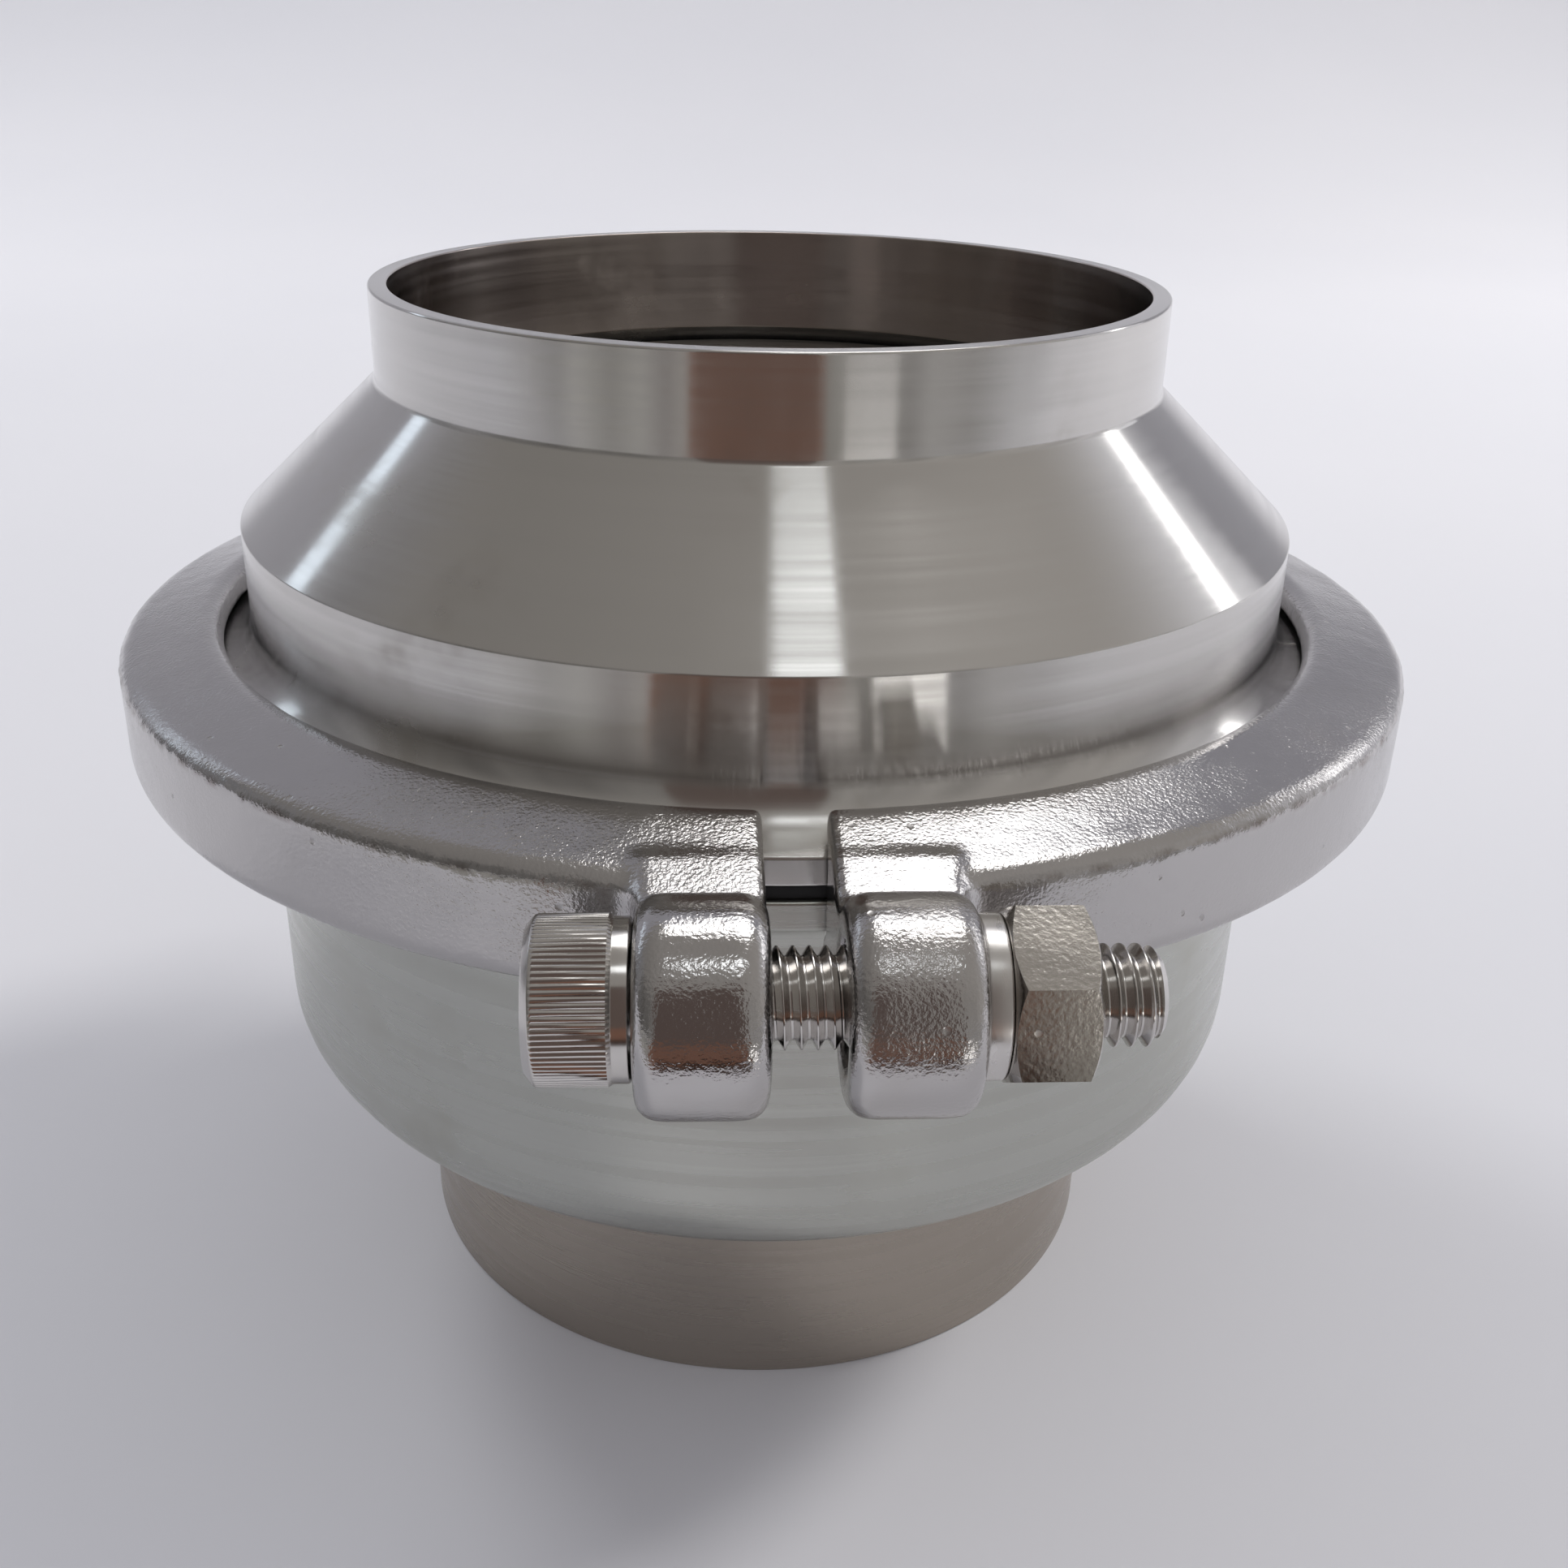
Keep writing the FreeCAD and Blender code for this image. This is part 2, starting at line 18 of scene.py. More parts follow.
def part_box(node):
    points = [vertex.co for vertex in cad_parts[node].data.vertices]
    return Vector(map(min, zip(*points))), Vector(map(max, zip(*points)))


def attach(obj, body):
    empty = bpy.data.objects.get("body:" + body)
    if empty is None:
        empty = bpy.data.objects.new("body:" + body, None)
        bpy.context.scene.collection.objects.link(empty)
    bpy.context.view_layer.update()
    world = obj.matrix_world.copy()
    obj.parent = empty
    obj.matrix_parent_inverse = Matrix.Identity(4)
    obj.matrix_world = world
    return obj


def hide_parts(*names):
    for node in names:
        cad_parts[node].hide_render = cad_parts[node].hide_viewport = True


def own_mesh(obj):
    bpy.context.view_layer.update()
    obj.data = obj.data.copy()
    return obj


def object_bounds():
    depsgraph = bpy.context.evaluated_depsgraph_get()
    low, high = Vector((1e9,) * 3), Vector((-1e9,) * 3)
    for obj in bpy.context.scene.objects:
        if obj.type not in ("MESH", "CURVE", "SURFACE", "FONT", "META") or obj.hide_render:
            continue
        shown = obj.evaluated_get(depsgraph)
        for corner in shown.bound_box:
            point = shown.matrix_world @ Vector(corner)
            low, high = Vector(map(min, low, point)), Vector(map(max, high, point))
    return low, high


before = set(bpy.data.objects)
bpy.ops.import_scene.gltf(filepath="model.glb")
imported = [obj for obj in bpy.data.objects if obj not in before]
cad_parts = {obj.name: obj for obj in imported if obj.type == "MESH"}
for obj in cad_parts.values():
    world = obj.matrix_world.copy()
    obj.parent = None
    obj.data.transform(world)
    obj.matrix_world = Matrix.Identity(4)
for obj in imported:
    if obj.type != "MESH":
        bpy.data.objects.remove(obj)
cad_low, cad_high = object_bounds()
mm = 0.001
print("height in mm:", round((cad_high.z - cad_low.z) / mm, 2))

# %% [markdown]
# ## Selecting and combining
#
# Operators act on whatever is selected, and loading leaves every node selected. So each step starts
# by clearing the selection, and then picks vertices, edges or faces by where they are. A person
# would click them; a test on the place does the same and gives the same answer every time.

# %% Select, pick, edit and combine
def clear_selection():
    """Leave edit mode and select nothing."""
    active = bpy.context.view_layer.objects.active
    if active is not None and active.mode != "OBJECT":
        bpy.ops.object.mode_set(mode="OBJECT")
    bpy.ops.object.select_all(action="DESELECT")


def make_active(obj):
    """Select this object alone."""
    clear_selection()
    obj.select_set(True)
    bpy.context.view_layer.objects.active = obj


def named(name):
    """Name the object that an operator has just made."""
    obj = bpy.context.object
    obj.name = name
    obj.data.name = name
    return obj


def pick(kind, wanted):
    """In edit mode, select the vertices, edges or faces for which wanted(part) is true."""
    bpy.ops.mesh.select_mode(type=kind)
    bpy.ops.mesh.select_all(action="DESELECT")
    mesh = bpy.context.object.data
    shape = bmesh.from_edit_mesh(mesh)
    parts = {"VERT": shape.verts, "EDGE": shape.edges, "FACE": shape.faces}[kind]
    chosen = [part for part in parts if wanted(part)]
    for part in chosen:
        part.select_set(True)
    shape.select_flush_mode()
    bmesh.update_edit_mesh(mesh)
    return len(chosen)


def apply_modifier(obj, kind, **settings):
    """Add one modifier, set it, and apply it."""
    make_active(obj)
    bpy.ops.object.modifier_add(type=kind)
    modifier = obj.modifiers[-1]
    for key, value in settings.items():
        setattr(modifier, key, value)
    bpy.ops.object.modifier_apply(modifier=modifier.name)


def combine(obj, tool, operation):
    """Boolean of obj with a tool, which is used up."""
    apply_modifier(obj, "BOOLEAN", operation=operation, object=tool, solver="EXACT")
    bpy.data.objects.remove(tool, do_unlink=True)


def edit(obj):
    """Enter edit mode on this object with everything selected."""
    make_active(obj)
    bpy.ops.object.mode_set(mode="EDIT")
    bpy.ops.mesh.select_all(action="SELECT")


def close_skin(weld=1e-7):
    """Weld the vertices that meet, turn the faces outwards, and leave edit mode."""
    bpy.ops.mesh.select_all(action="SELECT")
    bpy.ops.mesh.remove_doubles(threshold=weld)
    bpy.ops.mesh.normals_make_consistent(inside=False)
    bpy.ops.object.mode_set(mode="OBJECT")


def heights(node):
    """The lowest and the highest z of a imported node, in mm."""
    low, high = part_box(node)
    return low.z / mm, high.z / mm


# %% [markdown]
# ## Turned pieces
#
# Most of this valve comes off a lathe, so most pieces are made as a lathe makes them: half of the
# section is drawn as a chain of edges, its corners are rounded with a vertex bevel, and the chain is
# spun once round the axis. A cylinder with edge loops would also do, but then each rounding would be
# a bevel on a closed loop with faces on both sides, and small radii beside large ones overlap.
#
# Each outline point is (radius, place along the axis, corner radius), all in millimetres.
#
# A piece with a gap is a filled section that is spun only part of the way. With no window open,
# rotate and spin turn the other way from the right-hand rule, and the angles here allow for that.

# %% Draw an outline and spin it
ROUND_STEPS = 256        # facets round a large turned piece
CORNER_STEPS = 5         # facets across a rounded corner
SAME_PLACE = 1e-7        # two vertices closer than this, in metres, are one


class Axis:
    """Where a turned piece lies: the axis direction and a point on it, in mm."""

    def __init__(self, along, through):
        self.along = Vector(along)
        self.through = Vector(through)
        self.out = Vector((1, 0, 0)) if along == (0, 0, 1) else Vector((0, 0, 1))

    def place(self, radius, run):
        """The outline point in metres."""
        return (self.through + self.out * radius + self.along * run) * mm


VALVE_AXIS = Axis((0, 0, 1), (0, 0, 0))


def corner_offset(before, corner, after, radius):
    """How far from a corner its rounding starts, measured along the outline."""
    coming = (Vector(corner[:2]) - Vector(before[:2])).normalized()
    going = (Vector(after[:2]) - Vector(corner[:2])).normalized()
    return radius * math.tan(coming.angle(going) / 2)


def draw_outline(name, outline, axis, closed, corner_steps=CORNER_STEPS):
    """Chain of edges through the outline's points, with its corners rounded. Stays in edit mode."""
    clear_selection()
    bpy.ops.mesh.primitive_plane_add(size=mm, location=(0, 0, 0))
    obj = named(name)
    bpy.ops.object.mode_set(mode="EDIT")
    bpy.ops.mesh.select_all(action="SELECT")
    bpy.ops.mesh.merge(type="CENTER")
    places = [axis.place(point[0], point[1]) for point in outline]
    bpy.ops.transform.translate(value=places[0])
    for here, there in zip(places, places[1:]):
        bpy.ops.mesh.extrude_vertices_move(TRANSFORM_OT_translate={"value": there - here})
    if closed:
        ends = (places[0], places[-1])
        pick("VERT", lambda v: min((v.co - end).length for end in ends) < SAME_PLACE)
        bpy.ops.mesh.edge_face_add()
    count = len(outline)
    for i, point in enumerate(outline):
        if point[2] <= 0:
            continue
        offset = corner_offset(outline[i - 1], point, outline[(i + 1) % count], point[2])
        pick("VERT", lambda v: (v.co - places[i]).length < SAME_PLACE)
        bpy.ops.mesh.bevel(offset=offset * mm, segments=corner_steps, affect="VERTICES")
    return obj


def turned(name, outline, axis=VALVE_AXIS, closed=True, steps=ROUND_STEPS,
           corner_steps=CORNER_STEPS):
    """Spin a rounded outline once round the axis into a closed skin."""
    obj = draw_outline(name, outline, axis, closed, corner_steps)
    bpy.ops.mesh.select_all(action="SELECT")
    bpy.ops.mesh.spin(steps=steps, angle=2 * math.pi, center=axis.through * mm, axis=axis.along)
    close_skin()
    return obj


def part_turned(name, outline, axis, start, sweep, steps, corner_steps=CORNER_STEPS):
    """Fill an outline, turn it to its starting angle, and spin it part of the way round."""
    obj = draw_outline(name, outline, axis, True, corner_steps)
    centre = axis.through * mm
    bpy.ops.mesh.select_all(action="SELECT")
    bpy.ops.mesh.edge_face_add()
    bpy.ops.transform.rotate(value=start, orient_axis="Z" if axis.along.z else "X",
                             center_override=centre)
    bpy.ops.mesh.select_all(action="SELECT")
    bpy.ops.mesh.spin(steps=steps, angle=sweep, center=centre, axis=axis.along)
    close_skin()
    return obj


# %% [markdown]
# ## Handing a piece to the frame
#
# A finished piece gets its material, rides on one body and takes the place of one node of the
# imported model, which is hidden. Its flat and curved faces are shaded smooth up to a set angle,
# and the normals are weighted by face area, so that a wide flat face stays flat right up to its
# small rounded edge. On bright metal a normal that leans by half a degree shows as a bent highlight.

# %% Finish a piece
def shade(obj, angle=30):
    """Smooth shading with flat faces kept flat."""
    make_active(obj)
    bpy.ops.object.shade_smooth_by_angle(angle=math.radians(angle))
    apply_modifier(obj, "WEIGHTED_NORMAL", mode="FACE_AREA", weight=50, keep_sharp=True)


def hand_over(obj, body, node, material):
    """Give the piece its material and its body, and hide the node it stands for."""
    obj.data.materials.clear()
    obj.data.materials.append(material)
    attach(obj, body)
    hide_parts(node)
    print(f"{obj.name}: {len(obj.data.polygons)} faces, rides on {body}")


# %% [markdown]
# ## Shader building blocks
#
# Several finishes share the same effects: the fine lines a lathe leaves, the skin of a casting, and
# the faint marks of handling. Each is a node group with named inputs and outputs, made once and
# placed in every material that needs it with its own values. A group gives out only numbers that
# change over the surface; the shader itself stays in the material.

# %% Small helpers for node trees
def add_node(tree, kind, settings=None, inputs=None):
    """One node with its settings and its inputs' values; an input that is a socket is wired."""
    node = tree.nodes.new(kind)
    for key, value in (settings or {}).items():
        setattr(node, key, value)
    for key, value in (inputs or {}).items():
        if isinstance(value, bpy.types.NodeSocket):
            tree.links.new(value, node.inputs[key])
        else:
            node.inputs[key].default_value = value
    return node


def calc(tree, operation, *values):
    """A Math node's result."""
    inputs = dict(enumerate(values))
    return add_node(tree, "ShaderNodeMath", {"operation": operation}, inputs).outputs[0]


def new_group(name, inputs, outputs):
    """An empty node group with float inputs (name, value), a Vector input and float outputs."""
    tree = bpy.data.node_groups.new(name, "ShaderNodeTree")
    tree.interface.new_socket("Vector", in_out="INPUT", socket_type="NodeSocketVector")
    for label, value in inputs:
        socket = tree.interface.new_socket(label, in_out="INPUT", socket_type="NodeSocketFloat")
        socket.default_value = value
    for label in outputs:
        tree.interface.new_socket(label, in_out="OUTPUT", socket_type="NodeSocketFloat")
    return tree, tree.nodes.new("NodeGroupInput"), tree.nodes.new("NodeGroupOutput")


def wire(tree, source, target):
    """Join two sockets."""
    tree.links.new(source, target)


def split(tree, vector):
    """The x, y and z of a vector."""
    return add_node(tree, "ShaderNodeSeparateXYZ", inputs={0: vector}).outputs


def vector_of(tree, x, y, z=0.0):
    """A vector from its parts."""
    return add_node(tree, "ShaderNodeCombineXYZ", inputs={0: x, 1: y, 2: z}).outputs[0]


def length(tree, vector):
    """How long a vector is."""
    node = add_node(tree, "ShaderNodeVectorMath", {"operation": "LENGTH"}, {0: vector})
    return node.outputs["Value"]


def direction(tree, vector):
    """A vector made one long."""
    node = add_node(tree, "ShaderNodeVectorMath", {"operation": "NORMALIZE"}, {0: vector})
    return node.outputs[0]


def scaled(tree, vector, factor):
    """A vector, or a colour, times a number."""
    node = add_node(tree, "ShaderNodeVectorMath", {"operation": "SCALE"},
                    {0: vector, "Scale": factor})
    return node.outputs[0]


def remap(tree, value, start, end, low=0.0, high=1.0, kind="LINEAR"):
    """A value brought from one range into another, and kept inside it."""
    node = add_node(tree, "ShaderNodeMapRange", {"interpolation_type": kind},
                    {"Value": value, "From Min": start, "From Max": end, "To Min": low,
                     "To Max": high})
    return node.outputs[0]


def blend(tree, factor, first, second):
    """One colour faded into another."""
    node = add_node(tree, "ShaderNodeMix", {"data_type": "RGBA"},
                    {"Factor": factor, 6: first, 7: second})
    return node.outputs[2]


def cloud(tree, place, scale, detail=2.0, roughness=0.5, distortion=0.0):
    """A noise texture's value at a place."""
    node = add_node(tree, "ShaderNodeTexNoise", None,
                    {"Vector": place, "Scale": scale, "Detail": detail,
                     "Roughness": roughness, "Distortion": distortion})
    return node.outputs[0]


def raise_surface(tree, shader, height, depth):
    """Bump the shader's normal by a height, so many millimetres deep."""
    bump = add_node(tree, "ShaderNodeBump", None,
                    {"Height": height, "Strength": 1.0, "Distance": depth * mm})
    wire(tree, bump.outputs[0], shader.inputs["Normal"])


def new_material(name):
    """A new material, its node tree and its shader."""
    material = bpy.data.materials.new(name)
    material.use_nodes = True
    tree = material.node_tree
    return material, tree, tree.nodes["Principled BSDF"]


# %% [markdown]
# ### Turning lines
#
# A tool that feeds along a spinning piece leaves lines round it. They vary quickly along the axis
# and across the radius, and hardly at all round the circle. A four-dimensional noise does this with
# no seam: three of its coordinates are the direction round the axis and the height, and the fourth
# is the radius. A wave texture would be too regular, and an angle from atan2 would leave a seam.

# %% Turning lines, as a node group
def turning_lines_group():
    """Height and a slow variation for lines turned round the Vector input's Z axis."""
    tree, given, result = new_group(
        "Turning lines", [("Lines", 9000.0), ("Round", 2.0)], ["Height", "Streaks"])
    x, y, z = split(tree, given.outputs["Vector"])
    flat = vector_of(tree, x, y)
    around = split(tree, scaled(tree, direction(tree, flat), given.outputs["Round"]))
    up = calc(tree, "MULTIPLY", z, given.outputs["Lines"])
    out = calc(tree, "MULTIPLY", length(tree, flat), given.outputs["Lines"])
    for name, share, detail, roughness in (("Height", 1.0, 2.0, 0.6),
                                           ("Streaks", 0.12, 3.0, 0.55)):
        place = vector_of(tree, around[0], around[1], calc(tree, "MULTIPLY", up, share))
        lines = add_node(tree, "ShaderNodeTexNoise", {"noise_dimensions": "4D"},
                         {"Vector": place, "W": calc(tree, "MULTIPLY", out, share),
                          "Scale": 1.0, "Detail": detail, "Roughness": roughness})
        wire(tree, lines.outputs[0], result.inputs[name])
    return tree


TURNING_LINES = turning_lines_group()
print("made", TURNING_LINES.name)

# %% [markdown]
# ### Cast skin
#
# An investment casting copies its ceramic shell, so its skin has small rounded bumps, and acid
# polishing leaves it bright but not smooth. A fine noise gives the bumps, a second slower noise
# makes them come and go, and a sparse cell pattern gives the few pinholes.

# %% Cast skin, as a node group
def cast_skin_group():
    """Height and pinholes of a polished casting."""
    tree, given, result = new_group(
        "Cast skin", [("Grain", 1600.0), ("Pinholes", 420.0)], ["Height", "Holes", "Patches"])
    place = given.outputs["Vector"]
    patches = cloud(tree, place, 90.0, 3.0, 0.6)
    bumps = calc(tree, "MULTIPLY", cloud(tree, place, given.outputs["Grain"]),
                 remap(tree, patches, 0.35, 0.65, 0.35, 1.0))
    cells = add_node(tree, "ShaderNodeTexVoronoi", None,
                     {"Vector": place, "Scale": given.outputs["Pinholes"]})
    near = remap(tree, cells.outputs["Distance"], 0.06, 0.16, 1.0, 0.0)
    shares = add_node(tree, "ShaderNodeSeparateColor", inputs={0: cells.outputs["Color"]})
    rare = calc(tree, "GREATER_THAN", shares.outputs[0], 0.86)
    holes = calc(tree, "MULTIPLY", near, rare)
    height = calc(tree, "SUBTRACT", bumps, calc(tree, "MULTIPLY", holes, 0.8))
    for name, value in (("Height", height), ("Holes", holes), ("Patches", patches)):
        wire(tree, value, result.inputs[name])
    return tree


CAST_SKIN = cast_skin_group()
print("made", CAST_SKIN.name)

# %% [markdown]
# ### Handling marks
#
# Polished steel that has been handled has dull smears and a faint yellow cast where they have
# dried. A noise with many steps of detail, cut off at a level, gives patches with broken edges.

# %% Handling marks, as a node group
def handling_group():
    """A mask that is 1 where the metal has been touched."""
    tree, given, result = new_group("Handling marks", [("Size", 40.0), ("Cover", 0.5)], ["Mask"])
    large = cloud(tree, given.outputs["Vector"], given.outputs["Size"], 4.0, 0.62, 0.4)
    start = calc(tree, "SUBTRACT", 1.0, given.outputs["Cover"])
    end = calc(tree, "ADD", start, 0.22)
    wire(tree, remap(tree, large, start, end, kind="SMOOTHSTEP"), result.inputs["Mask"])
    return tree


HANDLING = handling_group()
print("made", HANDLING.name)

# %% [markdown]
# ## Metal finishes
#
# Every steel here is the same metal with a different surface, so one function makes them all. It
# takes the tint, how rough the surface is, how much the roughness is drawn out round the axis, and
# how deep the lines or the cast skin are. For a piece that lies on the screw's axis, two Mapping
# nodes put the pattern's Z axis on the axis that the piece was turned about.

# %% A function for steel finishes
SEAM_RING_R = 70.9       # the clamp's parting line, see the casting marks below
SEAM_RING_Z = 77.2
SEAM_STAIN = (0.16, 0.12, 0.10, 1.0)
BORE_SHADE_R = 40.65       # inside this radius the colour is darker and warmer: painted shade in the bore
BORE_PAINTED_SHADE = (0.50, 0.45, 0.42, 1.0)
# dark brownish colour on the weld neck: painted reflection and shade
NECK_PAINTED_REFLECTION = (0.44, 0.395, 0.345, 1.0)
MARKS_COVER = 0.45       # share of a surface that has been handled
DRIED_SHARES = (0.86, 0.82, 0.74)


def seam_mask(tree, place):
    """A broken line along the clamp's parting line: 1 where dross has stayed in it."""
    x, y, z = split(tree, place)
    broken = remap(tree, cloud(tree, place, 260.0, 4.0, 0.7), 0.46, 0.60)
    off_radius = calc(tree, "SUBTRACT", length(tree, vector_of(tree, x, y)), SEAM_RING_R * mm)
    off_height = calc(tree, "SUBTRACT", z, SEAM_RING_Z * mm)
    distance = length(tree, vector_of(tree, off_radius, off_height))
    close = remap(tree, distance, 0.12 * mm, 0.55 * mm, 1.0, 0.0)
    return calc(tree, "MULTIPLY", calc(tree, "MULTIPLY", close, broken), 0.6)


def steel(name, tint, rough, drawn=0.0, lines=None, skin=None, marks=0.0, lies_on=None,
          painted_bore_shade=False, neck_top=None, seam=False):
    """Stainless steel with turning lines (lines = count, depth, round) or a cast skin."""
    material, tree, shader = new_material(name)
    shader.inputs["Metallic"].default_value = 1.0
    shader.inputs["Anisotropic"].default_value = drawn
    shader.inputs["Anisotropic Rotation"].default_value = 0.25
    place = add_node(tree, "ShaderNodeTexCoord").outputs["Object"]
    if lies_on:
        for change in ({"Location": -lies_on.through * mm},
                       {"Rotation": (0, math.radians(90), 0)}):
            place = add_node(tree, "ShaderNodeMapping", None,
                             {"Vector": place, **change}).outputs[0]
    if drawn:
        around = add_node(tree, "ShaderNodeTangent",
                          {"direction_type": "RADIAL", "axis": "X" if lies_on else "Z"})
        wire(tree, around.outputs[0], shader.inputs["Tangent"])
    surface_rough = rough
    if lines:
        count, depth, spread = lines
        pattern = add_node(tree, "ShaderNodeGroup", {"node_tree": TURNING_LINES},
                           {"Vector": place, "Lines": count, "Round": spread})
        surface_rough = remap(tree, pattern.outputs["Streaks"], 0.3, 0.7,
                              rough * 0.8, rough * 1.25)
        raise_surface(tree, shader, pattern.outputs["Height"], depth)
    if skin:
        grain, depth = skin
        pattern = add_node(tree, "ShaderNodeGroup", {"node_tree": CAST_SKIN},
                           {"Vector": place, "Grain": grain})
        patchy = remap(tree, pattern.outputs["Patches"], 0.35, 0.65, rough * 0.8, rough * 1.35)
        in_holes = calc(tree, "MULTIPLY", pattern.outputs["Holes"], 0.3)
        surface_rough = calc(tree, "ADD", patchy, in_holes)
        raise_surface(tree, shader, pattern.outputs["Height"], depth)
    touched = add_node(tree, "ShaderNodeGroup", {"node_tree": HANDLING},
                       {"Vector": place, "Cover": MARKS_COVER})
    smear = calc(tree, "MULTIPLY", touched.outputs["Mask"], marks)
    roughness = calc(tree, "ADD", surface_rough, calc(tree, "MULTIPLY", smear, 0.35))
    wire(tree, roughness, shader.inputs["Roughness"])
    dried = [part * share for part, share in zip(tint, DRIED_SHARES)]
    colour = blend(tree, smear, (*tint, 1.0), (*dried, 1.0))
    # Painted shade: inside the bore the colour turns darker and warmer.
    if painted_bore_shade:
        x, y, z = split(tree, place)
        inside = calc(tree, "LESS_THAN", length(tree, vector_of(tree, x, y)), BORE_SHADE_R * mm)
        colour = blend(tree, inside, colour, BORE_PAINTED_SHADE)
        # Painted reflection and shade: below the neck's top the colour fades to a dark brownish tone.
        if neck_top is not None:
            neck_reflection_mask = remap(tree, z, (neck_top - 3.0) * mm, (neck_top + 2.5) * mm, 1.0, 0.0,
                         "SMOOTHSTEP")
            colour = blend(tree, neck_reflection_mask, colour, NECK_PAINTED_REFLECTION)
    if seam:
        colour = blend(tree, seam_mask(tree, place), colour, SEAM_STAIN)
    wire(tree, colour, shader.inputs["Base Color"])
    return material


SCREW_AXIS = Axis((1, 0, 0), (0, -78.65, 72.8))
BRIGHT_TURNED = steel("bright_turned_steel", (0.62, 0.605, 0.585), 0.17, drawn=1.0,
                      lines=(9000.0, 0.0005, 0.8), marks=0.5, painted_bore_shade=True)
SATIN_TURNED = steel("satin_turned_steel", (0.52, 0.525, 0.49), 0.27, drawn=0.85,
                     lines=(7000.0, 0.0004, 0.7), marks=0.26, painted_bore_shade=True, neck_top=26.0)
INNER_TURNED = steel("inner_turned_steel", (0.40, 0.38, 0.36), 0.30, drawn=0.6,
                     lines=(8000.0, 0.001, 2.0), marks=0.4)
CAST_STEEL = steel("cast_steel", (0.51, 0.495, 0.49), 0.14, skin=(3000.0, 0.075), marks=0.3,
                   seam=True)
NUT_STEEL = steel("nut_steel", (0.50, 0.475, 0.445), 0.11, skin=(2200.0, 0.018), marks=0.3)
SCREW_STEEL = steel("screw_steel", (0.60, 0.58, 0.56), 0.16, drawn=0.3,
                    lines=(6000.0, 0.001, 1.0), marks=0.25, lies_on=SCREW_AXIS)
WASHER_STEEL = steel("washer_steel", (0.66, 0.64, 0.62), 0.30, drawn=0.5,
                     lines=(9000.0, 0.001, 2.0), marks=0.2, lies_on=SCREW_AXIS)
GROUND_STEEL = steel("ground_steel", (0.72, 0.72, 0.72), 0.12, drawn=0.4,
                     lines=(12000.0, 0.0004, 2.0), marks=0.1)
SPRING_STEEL = steel("spring_steel", (0.60, 0.59, 0.58), 0.24, marks=0.3)
print("steels:", [m.name for m in bpy.data.materials if m.name.endswith("_steel")])

# %% [markdown]
# ## Rubber and PTFE
#
# The gasket and the seal are black moulded rubber: nearly no colour, a soft broken highlight and a
# fine grain. The bush is turned from white PTFE, which is waxy and slightly see-through.

# %% Rubber and PTFE
def moulded(name, colour, rough, grain, depth):
    """A dull moulded or turned material with a fine grain."""
    material, tree, shader = new_material(name)
    place = add_node(tree, "ShaderNodeTexCoord").outputs["Object"]
    touched = add_node(tree, "ShaderNodeGroup", {"node_tree": HANDLING},
                       {"Vector": place, "Size": 120.0, "Cover": 0.5})
    mask = touched.outputs["Mask"]
    worn = [part * 0.85 for part in colour]
    wire(tree, remap(tree, mask, 0.0, 1.0, rough, rough * 0.75), shader.inputs["Roughness"])
    wire(tree, blend(tree, mask, (*colour, 1.0), (*worn, 1.0)), shader.inputs["Base Color"])
    raise_surface(tree, shader, cloud(tree, place, grain, 3.0), depth)
    return material


BLACK_RUBBER = moulded("black_rubber", (0.018, 0.018, 0.019), 0.55, 3000.0, 0.01)
WHITE_PTFE = moulded("white_ptfe", (0.82, 0.81, 0.78), 0.42, 1500.0, 0.006)
print("made", BLACK_RUBBER.name, "and", WHITE_PTFE.name)

# %% [markdown]
# ## Sizes shared by the bodies
#
# The weld necks fit an 85 mm tube with a 2 mm wall. The flange faces are read from the frame, so
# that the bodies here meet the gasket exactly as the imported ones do.

# %% Sizes of the bodies
TUBE_R = 42.5
BORE_R = 40.5
BODY_R = 57.5
CHAMBER_R = 53.5
SEAT_FOOT_R = 53.0
FLANGE_RIM = 2.8
FLANGE_SLOPE = math.tan(math.radians(20))
FLANGE_ROOT_R = 4.0
EDGE = 0.25              # broken edge on a turned corner

flange_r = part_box("lower_body")[1].x / mm
lower_face = heights("lower_body")[1]
upper_face, top = heights("upper_body")
slope_height = (flange_r - BODY_R) * FLANGE_SLOPE
joint_z = (lower_face + upper_face) / 2
print("flange radius", round(flange_r, 2), "joint at", round(joint_z, 2))


# %% [markdown]
# ## Upper body
#
# The inlet body is one turning: a weld neck, a 45 degree cone, a short cylinder and a flange with
# a 20 degree slope for the clamp. Inside, a second cone parallel to the outer one is the valve's
# seat. Its corners are only broken, not rounded, except where the neck meets the cone.

# %% Turn the upper body
CONE_FOOT = 90.4
CONE_TOP = 104.5
SEAT_TOP = CONE_FOOT + (SEAT_FOOT_R - BORE_R) * (CONE_TOP - CONE_FOOT) / (BODY_R - TUBE_R)
GROOVE_BEAD_R = 1.65
BEAD_STEPS = 8
bead_ring_r = flange_r - 3.9


def half_round(radius, face, way):
    """Outline points of a half-round bead or groove on a flange face, going outwards."""
    points = []
    for i in range(BEAD_STEPS + 1):
        a = math.pi * i / BEAD_STEPS
        points.append((bead_ring_r - radius * math.cos(a), face + way * radius * math.sin(a), 0))
    return points


